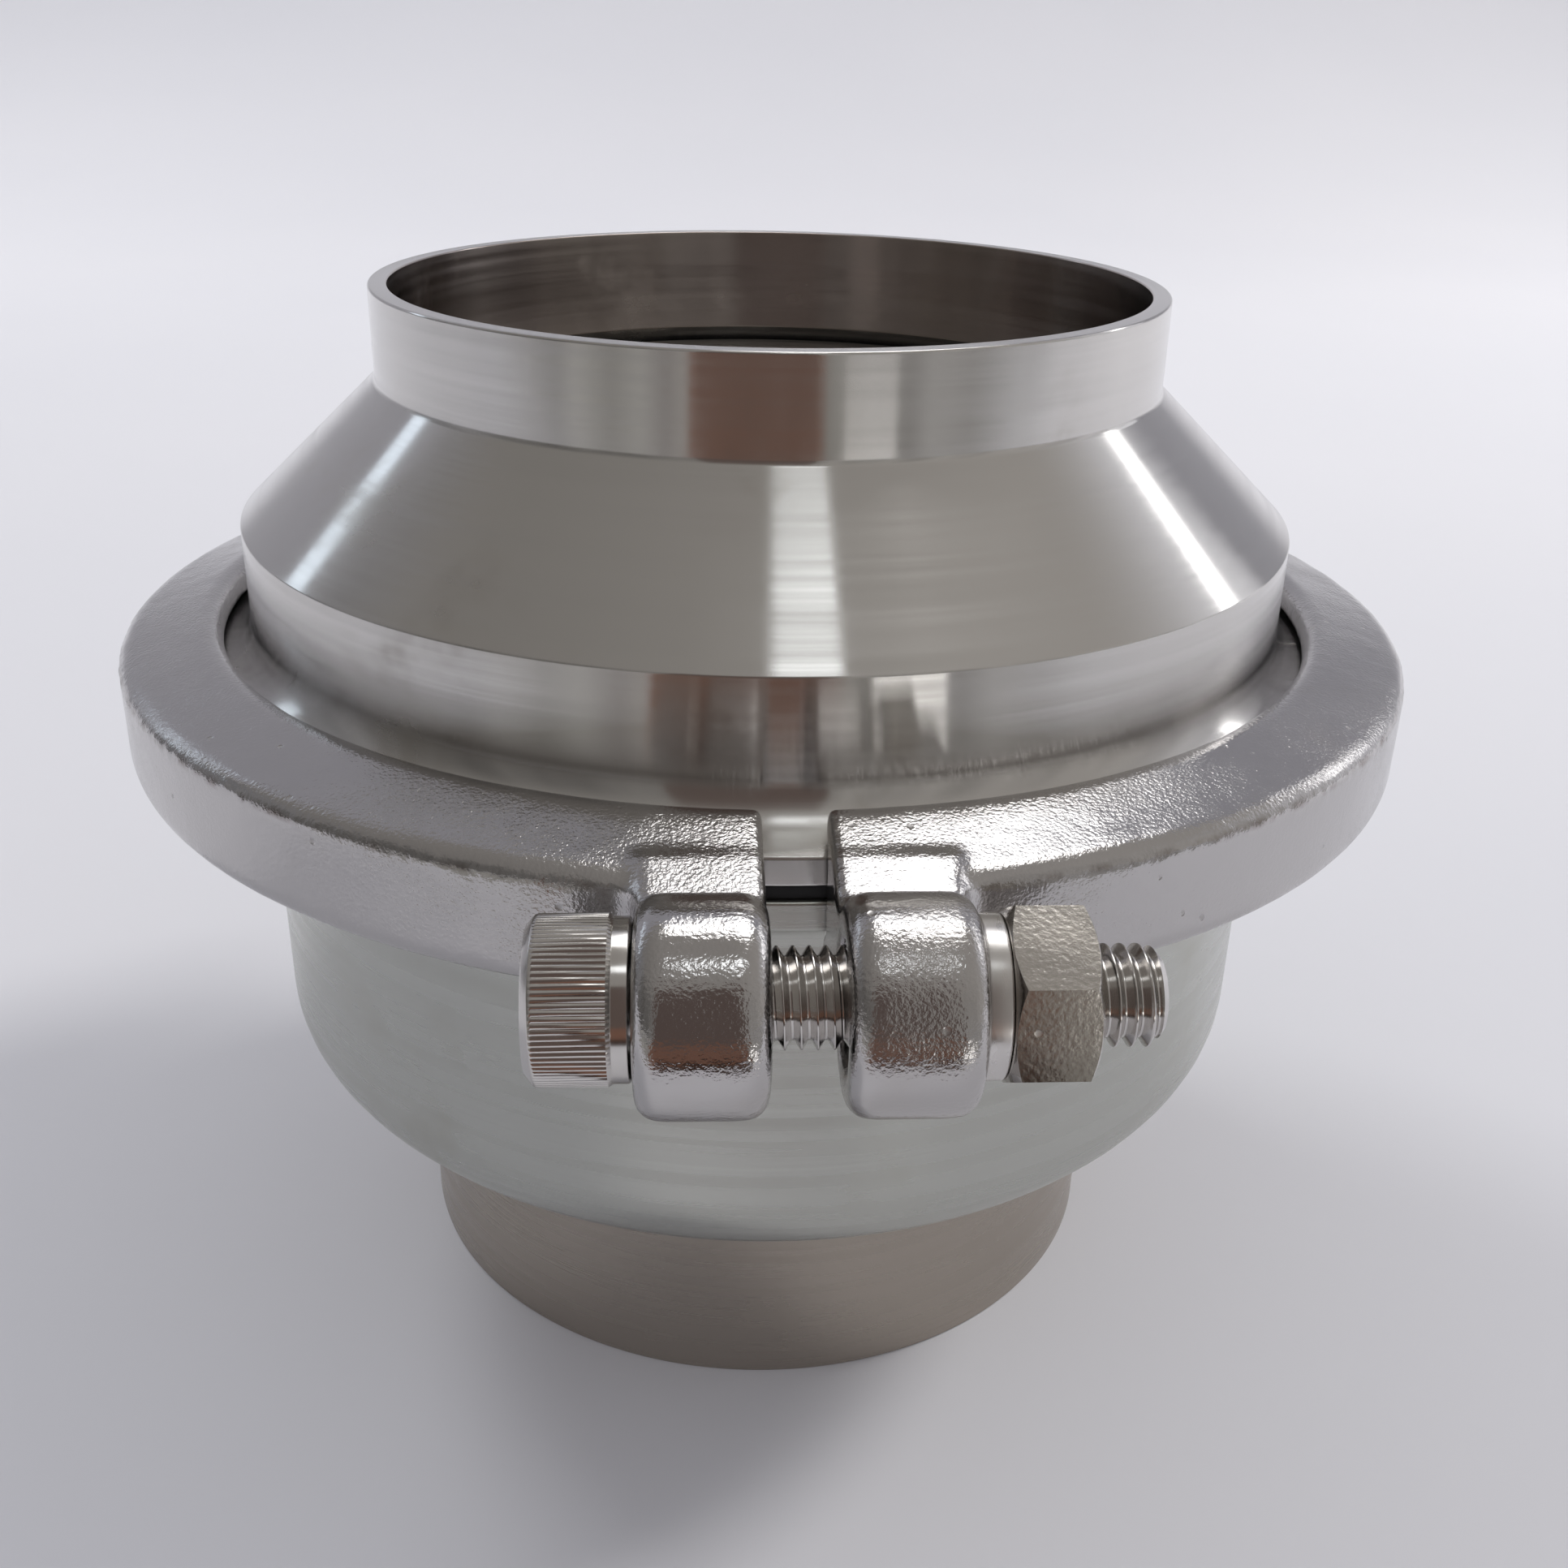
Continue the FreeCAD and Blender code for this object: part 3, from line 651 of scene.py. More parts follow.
upper_outline = [
    (BORE_R, top, 0.15), (TUBE_R, top, EDGE), (TUBE_R, CONE_TOP, 0.8), (BODY_R, CONE_FOOT, 0.3),
    (BODY_R, upper_face + FLANGE_RIM + slope_height, FLANGE_ROOT_R),
    (flange_r, upper_face + FLANGE_RIM, 0.4), (flange_r, upper_face, 0.3)]
upper_outline += reversed(half_round(GROOVE_BEAD_R, upper_face, 1))
upper_outline += [(SEAT_FOOT_R, upper_face, EDGE), (SEAT_FOOT_R, CONE_FOOT, 1.0),
                  (BORE_R, SEAT_TOP, 0.3)]
upper_body = turned("upper_body_turned", upper_outline)
shade(upper_body)
hand_over(upper_body, "valve_body", "upper_body", BRIGHT_TURNED)

# %% [markdown]
# ## Lower body
#
# The outlet body is longer. Its shoulder is a large radius that runs into the second weld neck.
# A recess in its flange holds the rim of the plug's guide.

# %% Turn the lower body
SHOULDER_Z = 26.0
FLOOR_Z = 30.0
RECESS_R = 55.3
recess_z = lower_face - 3.5
lower_outline = [
    (BORE_R, 0, 0.15), (TUBE_R, 0, EDGE), (TUBE_R, SHOULDER_Z, 0.8), (BODY_R, SHOULDER_Z, 10.0),
    (BODY_R, lower_face - FLANGE_RIM - slope_height, FLANGE_ROOT_R),
    (flange_r, lower_face - FLANGE_RIM, 0.4), (flange_r, lower_face, 0.3)]
lower_outline += reversed(half_round(GROOVE_BEAD_R, lower_face, -1))
lower_outline += [
    (RECESS_R, lower_face, EDGE), (RECESS_R, recess_z, 0.2), (CHAMBER_R, recess_z, EDGE),
    (CHAMBER_R, FLOOR_Z, 6.0), (BORE_R, FLOOR_Z, 5.0)]
lower_body = turned("lower_body_turned", lower_outline, corner_steps=10)
shade(lower_body)
hand_over(lower_body, "valve_body", "lower_body", SATIN_TURNED)

# %% [markdown]
# ## Gasket
#
# A flat rubber ring with a round bead that sits in both flange grooves. Only its edge shows, in
# the clamp's gap. Its outline is drawn like the others, with the beads as half circles.

# %% Turn the gasket
GASKET_OUT_R = flange_r - 0.5
GASKET_IN_R = 53.2
BEAD_R = GROOVE_BEAD_R - 0.05
gasket_outline = [(GASKET_IN_R, lower_face, 0.3)] + half_round(BEAD_R, lower_face, -1)
gasket_outline += [(GASKET_OUT_R, lower_face, 0.3), (GASKET_OUT_R, upper_face, 0.3)]
gasket_outline += reversed(half_round(BEAD_R, upper_face, 1))
gasket_outline.append((GASKET_IN_R, upper_face, 0.3))
gasket = turned("gasket_ring", gasket_outline)
shade(gasket)
hand_over(gasket, "valve_body", "body_gasket", BLACK_RUBBER)

# %% [markdown]
# ## Clamp halves
#
# The clamp is cast in two halves, joined by a pin at the back and by the screw in front. Each half
# is a wedge-grooved ring section with an ear at its end. The parts of one half are made apart and
# joined with booleans, then remeshed into even small cells and smoothed a little. That leaves the
# soft edges and the fillets between the ear and the ring that a casting has. Bevels alone would
# have to meet at the ear, where six surfaces come together, and would not close.

# %% The clamp's section, spun into half a ring
LIP_R = 60.5
LIP_H = 8.0              # joint plane to the inner edge of the top face
RIM_H = 5.3              # joint plane to the outer edge of the top face
GROOVE_R = 63.0
CLAMP_R = 71.2
CAST_EDGE = 1.6
SEAT_H = 3.869
lip_seat = SEAT_H + (flange_r - LIP_R) * FLANGE_SLOPE
groove_h = SEAT_H + (flange_r - GROOVE_R) * FLANGE_SLOPE
HALF_STEPS = 120
ring_outline = [
    (LIP_R, joint_z + LIP_H, CAST_EDGE), (CLAMP_R, joint_z + RIM_H, CAST_EDGE),
    (CLAMP_R, joint_z - RIM_H, CAST_EDGE), (LIP_R, joint_z - LIP_H, CAST_EDGE),
    (LIP_R, joint_z - lip_seat, 0.6), (GROOVE_R, joint_z - groove_h, 0),
    (GROOVE_R, joint_z + groove_h, 0), (LIP_R, joint_z + lip_seat, 0.6)]


def half_ring(side):
    """The clamp's section spun half a turn; side is -1 or 1 along X."""
    return part_turned("clamp_ring", ring_outline, VALVE_AXIS, math.radians(90),
                       -side * math.pi, HALF_STEPS, corner_steps=6)


# %% [markdown]
# ### Blocks for the ears and gaps
#
# A block is a cube primitive put at its size and place. Where the cast shape leans, corners of it
# are moved afterwards.

# %% Blocks and round bars
def block(name, low, high):
    """A box between two corners, in mm."""
    clear_selection()
    centre = (Vector(low) + Vector(high)) / 2 * mm
    bpy.ops.mesh.primitive_cube_add(size=1.0, location=(0, 0, 0))
    obj = named(name)
    edit(obj)
    bpy.ops.transform.resize(value=(Vector(high) - Vector(low)) * mm, center_override=(0, 0, 0))
    bpy.ops.transform.translate(value=centre)
    bpy.ops.object.mode_set(mode="OBJECT")
    return obj


def bar(name, axis, radius, start, end, edge=0.0, steps=96):
    """A solid round bar along an axis, with rounded ends."""
    outline = [(0, start, 0), (radius, start, edge), (radius, end, edge), (0, end, 0)]
    return turned(name, outline, axis, closed=False, steps=steps, corner_steps=6)


# %% [markdown]
# ### Ear
#
# The ear is a round boss for the screw on a web that grows out of the ring. The web's top carries
# on the slope of the ring's top face, so its outer corners are pulled down a little.

# %% Make one ear
GAP_X = 2.7              # half of the clamp's front gap
EAR_X = 12.9             # outer face of the ear
BOSS_R = 8.5
BOSS_EDGE = 1.9
WEB_ROOT = 67.0          # the web starts inside the ring, this far from the axis
WEB_OVERLAP = 0.1
WEB_FILLET = 3.0
boss_y = -(CLAMP_R + BOSS_R)
BOSS_AXIS = Axis((1, 0, 0), (0, boss_y, joint_z))
top_slope = (LIP_H - RIM_H) / (CLAMP_R - LIP_R)


def ear(side):
    """Boss, web and corner gusset of one ear, joined."""
    inner = min(side * GAP_X, side * EAR_X)
    outer = max(side * GAP_X, side * EAR_X)
    boss = bar("ear_boss", BOSS_AXIS, BOSS_R, inner, outer, BOSS_EDGE)
    web = block("ear_web", (inner, boss_y, joint_z - RIM_H), (outer, -WEB_ROOT, joint_z + RIM_H))
    root_lift = top_slope * (CLAMP_R - WEB_ROOT) + WEB_OVERLAP
    boss_lift = WEB_OVERLAP - top_slope * BOSS_R
    edit(web)
    for at_root, lift in ((True, root_lift), (False, boss_lift)):
        for way in (1, -1):
            pick("VERT", lambda v: (v.co.y > -CLAMP_R * mm) == at_root
                 and (v.co.z - joint_z * mm) * way > 0)
            bpy.ops.transform.translate(value=(0, 0, way * lift * mm))
    bpy.ops.object.mode_set(mode="OBJECT")
    combine(boss, web, "UNION")
    return boss


# %% [markdown]
# ### Gusset
#
# In the corner between the web and the ring a casting carries a generous fillet. It is a small
# prism whose free corner is scooped out by a round bar.

# %% Make the gusset
def gusset(side):
    """Filled corner between the ear's web and the ring's outer wall."""
    near = side * (EAR_X - 1.0)
    far = side * (EAR_X + WEB_FILLET)
    wall_y = -math.sqrt((CLAMP_R + WEB_FILLET) ** 2 - (EAR_X + WEB_FILLET) ** 2)
    low = (min(near, far), wall_y, joint_z - RIM_H + 0.4)
    high = (max(near, far), -66.0, joint_z + RIM_H - 0.4)
    obj = block("ear_gusset", low, high)
    scoop_axis = Axis((0, 0, 1), (far, wall_y, joint_z))
    combine(obj, bar("scoop", scoop_axis, WEB_FILLET, -LIP_H, LIP_H), "DIFFERENCE")
    return obj


# %% [markdown]
# ### Hinge knuckles
#
# At the back, the left half ends in a tongue and the right half in a fork, and a pin runs through
# both. A knuckle is a round disc about the pin with a web that ties it to the ring.

# %% Make a knuckle
HINGE_Y = 76.0
KNUCKLE_R = 6.0
TONGUE_H = 2.0           # half of the tongue's height
LEAF_H = 2.3             # joint plane to the inner face of a fork leaf
BACK_GAP_X = 0.8         # half of the gap between the halves at the back
WEB_BACK_ROOT = 66.0
WEB_REACH = 10.0
WEB_SPREAD = 2.0         # how much wider the web is at the ring
PIN_R = 3.0
HINGE_AXIS = Axis((0, 0, 1), (0, HINGE_Y, joint_z))


def knuckle(side, low, high):
    """Disc and web of one knuckle between two heights from the joint plane."""
    disc = bar("knuckle", HINGE_AXIS, KNUCKLE_R, low, high, 0.5, steps=64)
    ends = sorted((side * BACK_GAP_X, side * WEB_REACH))
    web = block("knuckle_web", (ends[0], WEB_BACK_ROOT, joint_z + low),
                (ends[1], HINGE_Y, joint_z + high))
    edit(web)
    middle_y = (WEB_BACK_ROOT + HINGE_Y) / 2 * mm
    for at_pin, shift in ((True, KNUCKLE_R - WEB_REACH), (False, WEB_SPREAD)):
        pick("VERT", lambda v: abs(v.co.x) > KNUCKLE_R / 2 * mm and (v.co.y > middle_y) == at_pin)
        bpy.ops.transform.translate(value=(side * shift * mm, 0, 0))
    bpy.ops.object.mode_set(mode="OBJECT")
    combine(disc, web, "UNION")
    return disc


# %% [markdown]
# ### Joining one half
#
# Order matters: solid parts are added first and holes are cut last, so no hole is filled again.
# The remesh's cell is a quarter of the smallest radius wanted on an edge.

# %% Put one clamp half together
EAR_HOLE_R = 5.25
RELIEF = 0.3             # free space round the knuckles
PIN_PLAY = 0.05
REACH_H = 12             # a cut that passes right through the clamp reaches this far each way
CELL = 0.42
SMOOTHING = 13


def clamp_half(name, side):
    """One half of the clamp as an even mesh with soft edges."""
    half = half_ring(side)
    half.name = name
    for gap, near, far in ((GAP_X, -80, -50), (BACK_GAP_X, 50, 80)):
        cut = block("gap", (-gap, near, joint_z - REACH_H), (gap, far, joint_z + REACH_H))
        combine(half, cut, "DIFFERENCE")
    combine(half, ear(side), "UNION")
    combine(half, gusset(side), "UNION")
    if side < 0:
        layers = [(-TONGUE_H, TONGUE_H)]
        reliefs = [(-REACH_H, -TONGUE_H), (TONGUE_H, REACH_H)]
    else:
        layers = [(-RIM_H, -LEAF_H), (LEAF_H, RIM_H)]
        reliefs = [(-LEAF_H, LEAF_H), (-REACH_H, -RIM_H), (RIM_H, REACH_H)]
    for low, high in reliefs:
        cut = bar("relief", HINGE_AXIS, KNUCKLE_R + RELIEF, low, high, steps=64)
        combine(half, cut, "DIFFERENCE")
    for low, high in layers:
        combine(half, knuckle(side, low, high), "UNION")
    groove = [(50, joint_z - SEAT_H, 0), (GROOVE_R, joint_z - SEAT_H, 0),
              (GROOVE_R, joint_z + SEAT_H, 0), (50, joint_z + SEAT_H, 0)]
    combine(half, turned("groove", groove, steps=240), "DIFFERENCE")
    combine(half, bar("ear_hole", BOSS_AXIS, EAR_HOLE_R, -20, 20, steps=64), "DIFFERENCE")
    combine(half, bar("pin_hole", HINGE_AXIS, PIN_R + PIN_PLAY, -20, 20, steps=48), "DIFFERENCE")
    apply_modifier(half, "REMESH", mode="VOXEL", voxel_size=CELL * mm)
    apply_modifier(half, "SMOOTH", factor=0.5, iterations=SMOOTHING)
    return half


# %% [markdown]
# ### Casting marks
#
# A real casting is never quite even. Its faces wander by a few hundredths of a millimetre, and
# where the two shell halves met a rough seam runs along the outer corner. Both are moves of the
# mesh itself: a slow noise along the normals, and a ragged ridge near the seam's circle.

# %% Roughen a casting
SEAM_WIDTH = 0.9
SEAM_RISE = 0.16


def cast_marks(obj):
    """Move each vertex along its normal by slow noise, and raise the seam."""
    mesh = obj.data
    moved = []
    for vertex in mesh.vertices:
        co = vertex.co / mm
        wander = 0.03 * noise.noise(co * 0.22) + 0.012 * noise.noise(co * 0.7)
        radius = math.hypot(co.x, co.y)
        off_seam = math.hypot(radius - SEAM_RING_R, co.z - SEAM_RING_Z)
        ragged = max(0.0, noise.noise(co * 0.9) + 0.25)
        seam = SEAM_RISE * ragged * max(0.0, 1 - off_seam / SEAM_WIDTH)
        moved.append(vertex.co + vertex.normal * (wander + seam) * mm)
    for vertex, place in zip(mesh.vertices, moved):
        vertex.co = place


for side, word, body in ((-1, "left", "clamp_left"), (1, "right", "clamp_right")):
    half = clamp_half("clamp_" + word + "_casting", side)
    cast_marks(half)
    make_active(half)
    bpy.ops.object.shade_smooth()
    hand_over(half, body, "clamp_half_" + word, CAST_STEEL)

# %% [markdown]
# ## Hinge pin
#
# A plain pin, hammered over at both ends. Its two heads are domed by a large corner radius.

# %% Turn the hinge pin
HEAD_H = 1.5
PIN_HEAD_R = 4.5
reach = RIM_H + HEAD_H
half_pin = [(PIN_R, RIM_H, 0), (PIN_HEAD_R, RIM_H, 0.2), (PIN_HEAD_R, reach - 0.8, 0.3),
            (PIN_HEAD_R - 0.6, reach, 0.4), (0, reach, 0)]
pin_outline = [(radius, -run, edge) for radius, run, edge in reversed(half_pin)] + half_pin
hinge_pin = turned("hinge_pin_riveted", pin_outline, HINGE_AXIS, closed=False, steps=64)
shade(hinge_pin)
hand_over(hinge_pin, "clamp_right", "hinge_pin", NUT_STEEL)

# %% [markdown]
# ## Cap screw
#
# An M8 socket head cap screw lies across the ears. Its head has a fine straight knurl with a plain
# collar beside the ear. The thread is a zigzag outline wound round the axis with a Screw modifier
# that climbs one pitch in one turn, so that each crest runs straight into the next.

# %% Sizes of the screw
PITCH = 1.25
THREAD_R = 3.95
ROOT_R = 3.2
HEAD_R = 6.5
HEAD_LEN = 8.0
COLLAR = 1.45
SCREW_LEN = 40.0
SOCKET_DEPTH = 4.4
head_x = -EAR_X - HEAD_LEN
tip_x = SCREW_LEN - EAR_X
print("screw from", head_x, "to", tip_x)


# %% [markdown]
# ### Thread
#
# The outline starts and ends on the axis, so one turn of it encloses a solid once the open step at
# each end is filled. It runs past both ends; a chamfered bar cuts it to length and trims the crests
# down at the tip.

# %% Wind the thread
THREAD_STEPS = 64


def threaded_bar(name, start, end):
    """A closed length of thread that reaches past both places along the screw's axis."""
    turns = int((end - start) / PITCH) + 3
    outline = [(0, start - 1.5 * PITCH, 0)]
    for i in range(turns):
        x = start + (i - 1.5) * PITCH
        outline += [(ROOT_R, x, 0.07 if i else 0), (ROOT_R, x + 0.14 * PITCH, 0.07),
                    (THREAD_R, x + 0.52 * PITCH, 0.04), (THREAD_R, x + 0.62 * PITCH, 0.04)]
    last = start + (turns - 1.5) * PITCH
    outline += [(ROOT_R, last, 0), (0, last, 0)]
    origin = Axis((1, 0, 0), (0, 0, 0))
    obj = draw_outline(name, outline, origin, closed=False, corner_steps=2)
    bpy.ops.object.mode_set(mode="OBJECT")
    apply_modifier(obj, "SCREW", axis="X", angle=2 * math.pi, screw_offset=PITCH * mm,
                   steps=THREAD_STEPS, render_steps=THREAD_STEPS, iterations=1)
    edit(obj)
    bpy.ops.mesh.remove_doubles(threshold=2e-6)
    bpy.ops.mesh.select_all(action="SELECT")
    bpy.ops.mesh.fill_holes(sides=0)
    bpy.ops.mesh.select_all(action="SELECT")
    bpy.ops.mesh.normals_make_consistent(inside=False)
    bpy.ops.transform.translate(value=SCREW_AXIS.through * mm)
    bpy.ops.object.mode_set(mode="OBJECT")
    return obj


# %% [markdown]
# ### Head
#
# The head is turned with three facets for each of its knurl grooves. Every third row of vertices
# between the chamfer and the collar is then drawn in towards the axis, which cuts all the grooves
# at once. The socket is a hexagonal bar taken out of the end, with a drilled cone at its bottom.

# %% Make the head
KNURLS = 84
KNURL_DEPTH = 0.11
SOCKET_AF = 6.0


def screw_head():
    """Knurled head with its hexagon socket."""
    collar_x = -EAR_X - COLLAR
    outline = [
        (0, head_x, 0), (HEAD_R - 0.85, head_x, 0.25), (HEAD_R - 0.12, head_x + 0.62, 0.25),
        (HEAD_R, head_x + 0.95, 0), (HEAD_R, collar_x - 0.35, 0), (HEAD_R - 0.22, collar_x, 0.1),
        (HEAD_R - 0.22, -EAR_X - 0.25, 0.12), (HEAD_R - 0.6, -EAR_X, 0.1), (0, -EAR_X, 0)]
    obj = turned("cap_screw_knurled", outline, SCREW_AXIS, closed=False, steps=3 * KNURLS)
    edit(obj)

    def in_groove(vertex):
        off = vertex.co / mm - SCREW_AXIS.through
        if math.hypot(off.y, off.z) < HEAD_R - 0.02:
            return False
        column = round(math.atan2(off.y, off.z) / (2 * math.pi) * 3 * KNURLS)
        return column % 3 == 0

    pick("VERT", in_groove)
    shrink = 1 - KNURL_DEPTH / HEAD_R
    bpy.ops.transform.resize(value=(1, shrink, shrink),
                             center_override=SCREW_AXIS.through * mm)
    bpy.ops.object.mode_set(mode="OBJECT")
    return obj


def hexagon(name, across_flats, start, end, corner_deg):
    """A six-sided bar along the screw's axis with one corner above the -Y direction."""
    clear_selection()
    bpy.ops.mesh.primitive_cylinder_add(
        vertices=6, radius=across_flats / math.sqrt(3) * mm, depth=(end - start) * mm)
    obj = named(name)
    turn = Matrix.Rotation(math.radians(90), 4, "Y")
    spin = Matrix.Rotation(math.radians(180 - corner_deg), 4, "X")
    middle = Matrix.Translation((SCREW_AXIS.through + Vector(((start + end) / 2, 0, 0))) * mm)
    obj.data.transform(middle @ spin @ turn)
    return obj


cap_screw = screw_head()
socket = hexagon("socket", SOCKET_AF, head_x - 1, head_x + SOCKET_DEPTH, 0)
combine(cap_screw, socket, "DIFFERENCE")
drill_outline = [(0, head_x - 1, 0), (3.55, head_x - 1, 0), (3.1, head_x + 0.35, 0),
                 (2.9, head_x + SOCKET_DEPTH, 0), (0, head_x + SOCKET_DEPTH + 0.9, 0)]
drill = turned("drill", drill_outline, SCREW_AXIS, closed=False, steps=48)
combine(cap_screw, drill, "DIFFERENCE")
thread = threaded_bar("thread", -EAR_X - 0.5, tip_x)
trim_outline = [(0, -EAR_X - 2, 0), (6, -EAR_X - 2, 0), (6, tip_x - 1.4, 0),
                (THREAD_R + 0.3, tip_x - 1.15, 0), (ROOT_R - 0.25, tip_x - 0.05, 0.15),
                (0, tip_x, 0)]
trim = turned("trim", trim_outline, SCREW_AXIS, closed=False, steps=96)
combine(thread, trim, "INTERSECT")
combine(cap_screw, thread, "UNION")
shade(cap_screw, 24)
hand_over(cap_screw, "clamp_left", "cap_screw", SCREW_STEEL)

# %% [markdown]
# ## Spring washer
#
# A ring of square section, split at the bottom and pressed flat. Its section is drawn and spun
# nearly all the way round, so the split is simply where the spin stops.

# %% Spin the split washer
WASHER_T = 2.0
WASHER_R = 6.35
WASHER_BORE = 4.05
SLIT = 1.4
washer_x = EAR_X
slit_angle = 2 * math.asin(SLIT / 2 / ((WASHER_R + WASHER_BORE) / 2))
washer_outline = [
    (WASHER_BORE, washer_x + 0.02, 0.25), (WASHER_R, washer_x + 0.02, 0.3),
    (WASHER_R, washer_x + WASHER_T - 0.02, 0.3), (WASHER_BORE, washer_x + WASHER_T - 0.02, 0.25)]
lock_washer = part_turned("split_washer", washer_outline, SCREW_AXIS, math.pi - slit_angle / 2,
                          slit_angle - 2 * math.pi, 150)
shade(lock_washer)
hand_over(lock_washer, "washer", "lock_washer", WASHER_STEEL)

# %% [markdown]
# ## Nut
#
# A hexagon nut is a six-sided bar whose corners are turned off at 30 degrees on both faces. The
# turned blank and the hexagon are intersected, which draws the curved edges that a nut has, and the
# bore is countersunk and threaded.

# %% Make the nut
NUT_AF = 13.0
NUT_H = 6.5
NUT_TURN = 35.0
nut_x = EAR_X + WASHER_T
nut_end = nut_x + NUT_H
flat_r = NUT_AF / 2
corner_r = NUT_AF / math.sqrt(3)
chamfer = (corner_r - flat_r * 0.97) * math.tan(math.radians(30))
hex_nut = hexagon("nut_hexagon", NUT_AF, nut_x, nut_end, NUT_TURN)
blank_outline = [
    (0, nut_x, 0), (flat_r * 0.97, nut_x, 0.1), (corner_r, nut_x + chamfer, 0.1),
    (corner_r, nut_end - chamfer, 0.1), (flat_r * 0.97, nut_end, 0.1), (0, nut_end, 0)]
blank = turned("blank", blank_outline, SCREW_AXIS, closed=False, steps=192)
combine(hex_nut, blank, "INTERSECT")
bore_outline = [
    (0, nut_x - 1, 0), (4.9, nut_x - 1, 0), (4.35, nut_x, 0), (4.0, nut_x + 0.35, 0),
    (4.0, nut_end - 0.35, 0), (4.35, nut_end, 0), (4.9, nut_end + 1, 0), (0, nut_end + 1, 0)]
bore = turned("bore", bore_outline, SCREW_AXIS, closed=False, steps=64)
combine(hex_nut, bore, "DIFFERENCE")
apply_modifier(hex_nut, "BEVEL", width=0.2 * mm, segments=3, limit_method="ANGLE",
               angle_limit=math.radians(35))
shade(hex_nut, 40)
hand_over(hex_nut, "nut", "hex_nut", NUT_STEEL)

# %% [markdown]
# ## Plug, seal and stem
#
# Under the seat hangs a conical plug with a rubber ring in a round groove. Its stem is pressed into
# a boss, runs down through the guide, and is kept from leaving it by a washer and a circlip. All of
# these but the circlip are turned.

# %% Turn the plug
plug_low, plug_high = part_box("valve_plug")
PLUG_TOP_R = 40.9
plug_r = plug_high.x / mm
plug_top = plug_high.z / mm
boss_foot = plug_low.z / mm
PLUG_EDGE_Z = 95.6
PLUG_FOOT_Z = 94.0
PLUG_BOSS_R = 7.0
STEM_R = 4.0
STEM_HOLE = 5.0          # how far the stem's hole goes into the plug
SEAL_R = 42.53
SEAL_Z = 97.29
SEAL_GROOVE = 2.05
GROOVE_START = 319       # degrees from outwards, where the groove's points begin
GROOVE_STEP = 9


def plug_cone(z):
    """Radius of the plug's cone at a height."""
    share = (z - PLUG_EDGE_Z) / (plug_top - PLUG_EDGE_Z)
    return plug_r + (PLUG_TOP_R - plug_r) * share


def seal_groove():
    """Points of the round groove that lie inside the cone, taken once round its circle."""
    points = []
    for degrees in range(GROOVE_START, GROOVE_START + 360, GROOVE_STEP):
        a = math.radians(degrees)
        radius = SEAL_R + SEAL_GROOVE * math.cos(a)
        z = SEAL_Z + SEAL_GROOVE * math.sin(a)
        if radius < plug_cone(z) - 0.01:
            points.append((radius, z, 0))
    return points


plug_outline = [(0, plug_top, 0), (PLUG_TOP_R, plug_top, 0.3)] + seal_groove()
plug_outline += [(plug_r, PLUG_EDGE_Z, 0.3), (plug_r, PLUG_FOOT_Z, 0.3),
                 (PLUG_BOSS_R, PLUG_FOOT_Z, 1.0), (PLUG_BOSS_R, boss_foot, 0.4),
                 (STEM_R, boss_foot, 0.0), (STEM_R, PLUG_FOOT_Z + STEM_HOLE, 0),
                 (0, PLUG_FOOT_Z + STEM_HOLE, 0)]
valve_plug = turned("plug_turned", plug_outline, closed=False)
shade(valve_plug)
hand_over(valve_plug, "plug", "valve_plug", INNER_TURNED)

# %% [markdown]
# ### Seal ring
#
# The seal is a plain O-ring. A torus primitive would do, but it is turned like its groove so that
# the moulding line round its outside can be left standing.

# %% Turn the seal ring
SEAL_CS_R = 2.0
seal_outline = []
for i in range(32):
    a = 2 * math.pi * i / 32
    flash = 0.04 if i in (5, 21) else 0.0
    radius = SEAL_CS_R + flash
    seal_outline.append((SEAL_R + radius * math.cos(a), SEAL_Z + radius * math.sin(a), 0))
seal_ring = turned("seal_o_ring", seal_outline)
shade(seal_ring, 60)
hand_over(seal_ring, "plug", "plug_seal_ring", BLACK_RUBBER)

# %% [markdown]
# ### Stem and stop washer
#
# The stem is ground to size with a chamfered foot and a groove for the circlip. A flat washer on it
# stops the plug at the top of its travel.

# %% Turn the stem and its washer
stem_foot, stem_top = heights("plug_stem")
clip_low, clip_high = heights("stem_circlip")
stem_outline = [
    (0, stem_foot, 0), (STEM_R - 0.8, stem_foot, 0.1), (STEM_R, stem_foot + 0.8, 0.1),
    (STEM_R, clip_low, 0), (STEM_R - 0.5, clip_low, 0), (STEM_R - 0.5, clip_high, 0),
    (STEM_R, clip_high, 0), (STEM_R, stem_top, 0.2), (0, stem_top, 0)]
plug_stem = turned("stem_ground", stem_outline, closed=False, steps=96)
shade(plug_stem)
hand_over(plug_stem, "plug", "plug_stem", GROUND_STEEL)

stop_low, stop_high = heights("stem_stop_washer")
stop_outline = [(STEM_R, stop_low, 0.15), (8.0, stop_low, 0.25), (8.0, stop_high, 0.25),
                (STEM_R, stop_high, 0.15)]
stop_washer = turned("stop_washer_flat", stop_outline, steps=128)
shade(stop_washer)
hand_over(stop_washer, "plug", "stem_stop_washer", NUT_STEEL)


# %% [markdown]
# ### Circlip
#
# The circlip is a flat ring with a gap. Its section is spun from one side of the gap to the other.

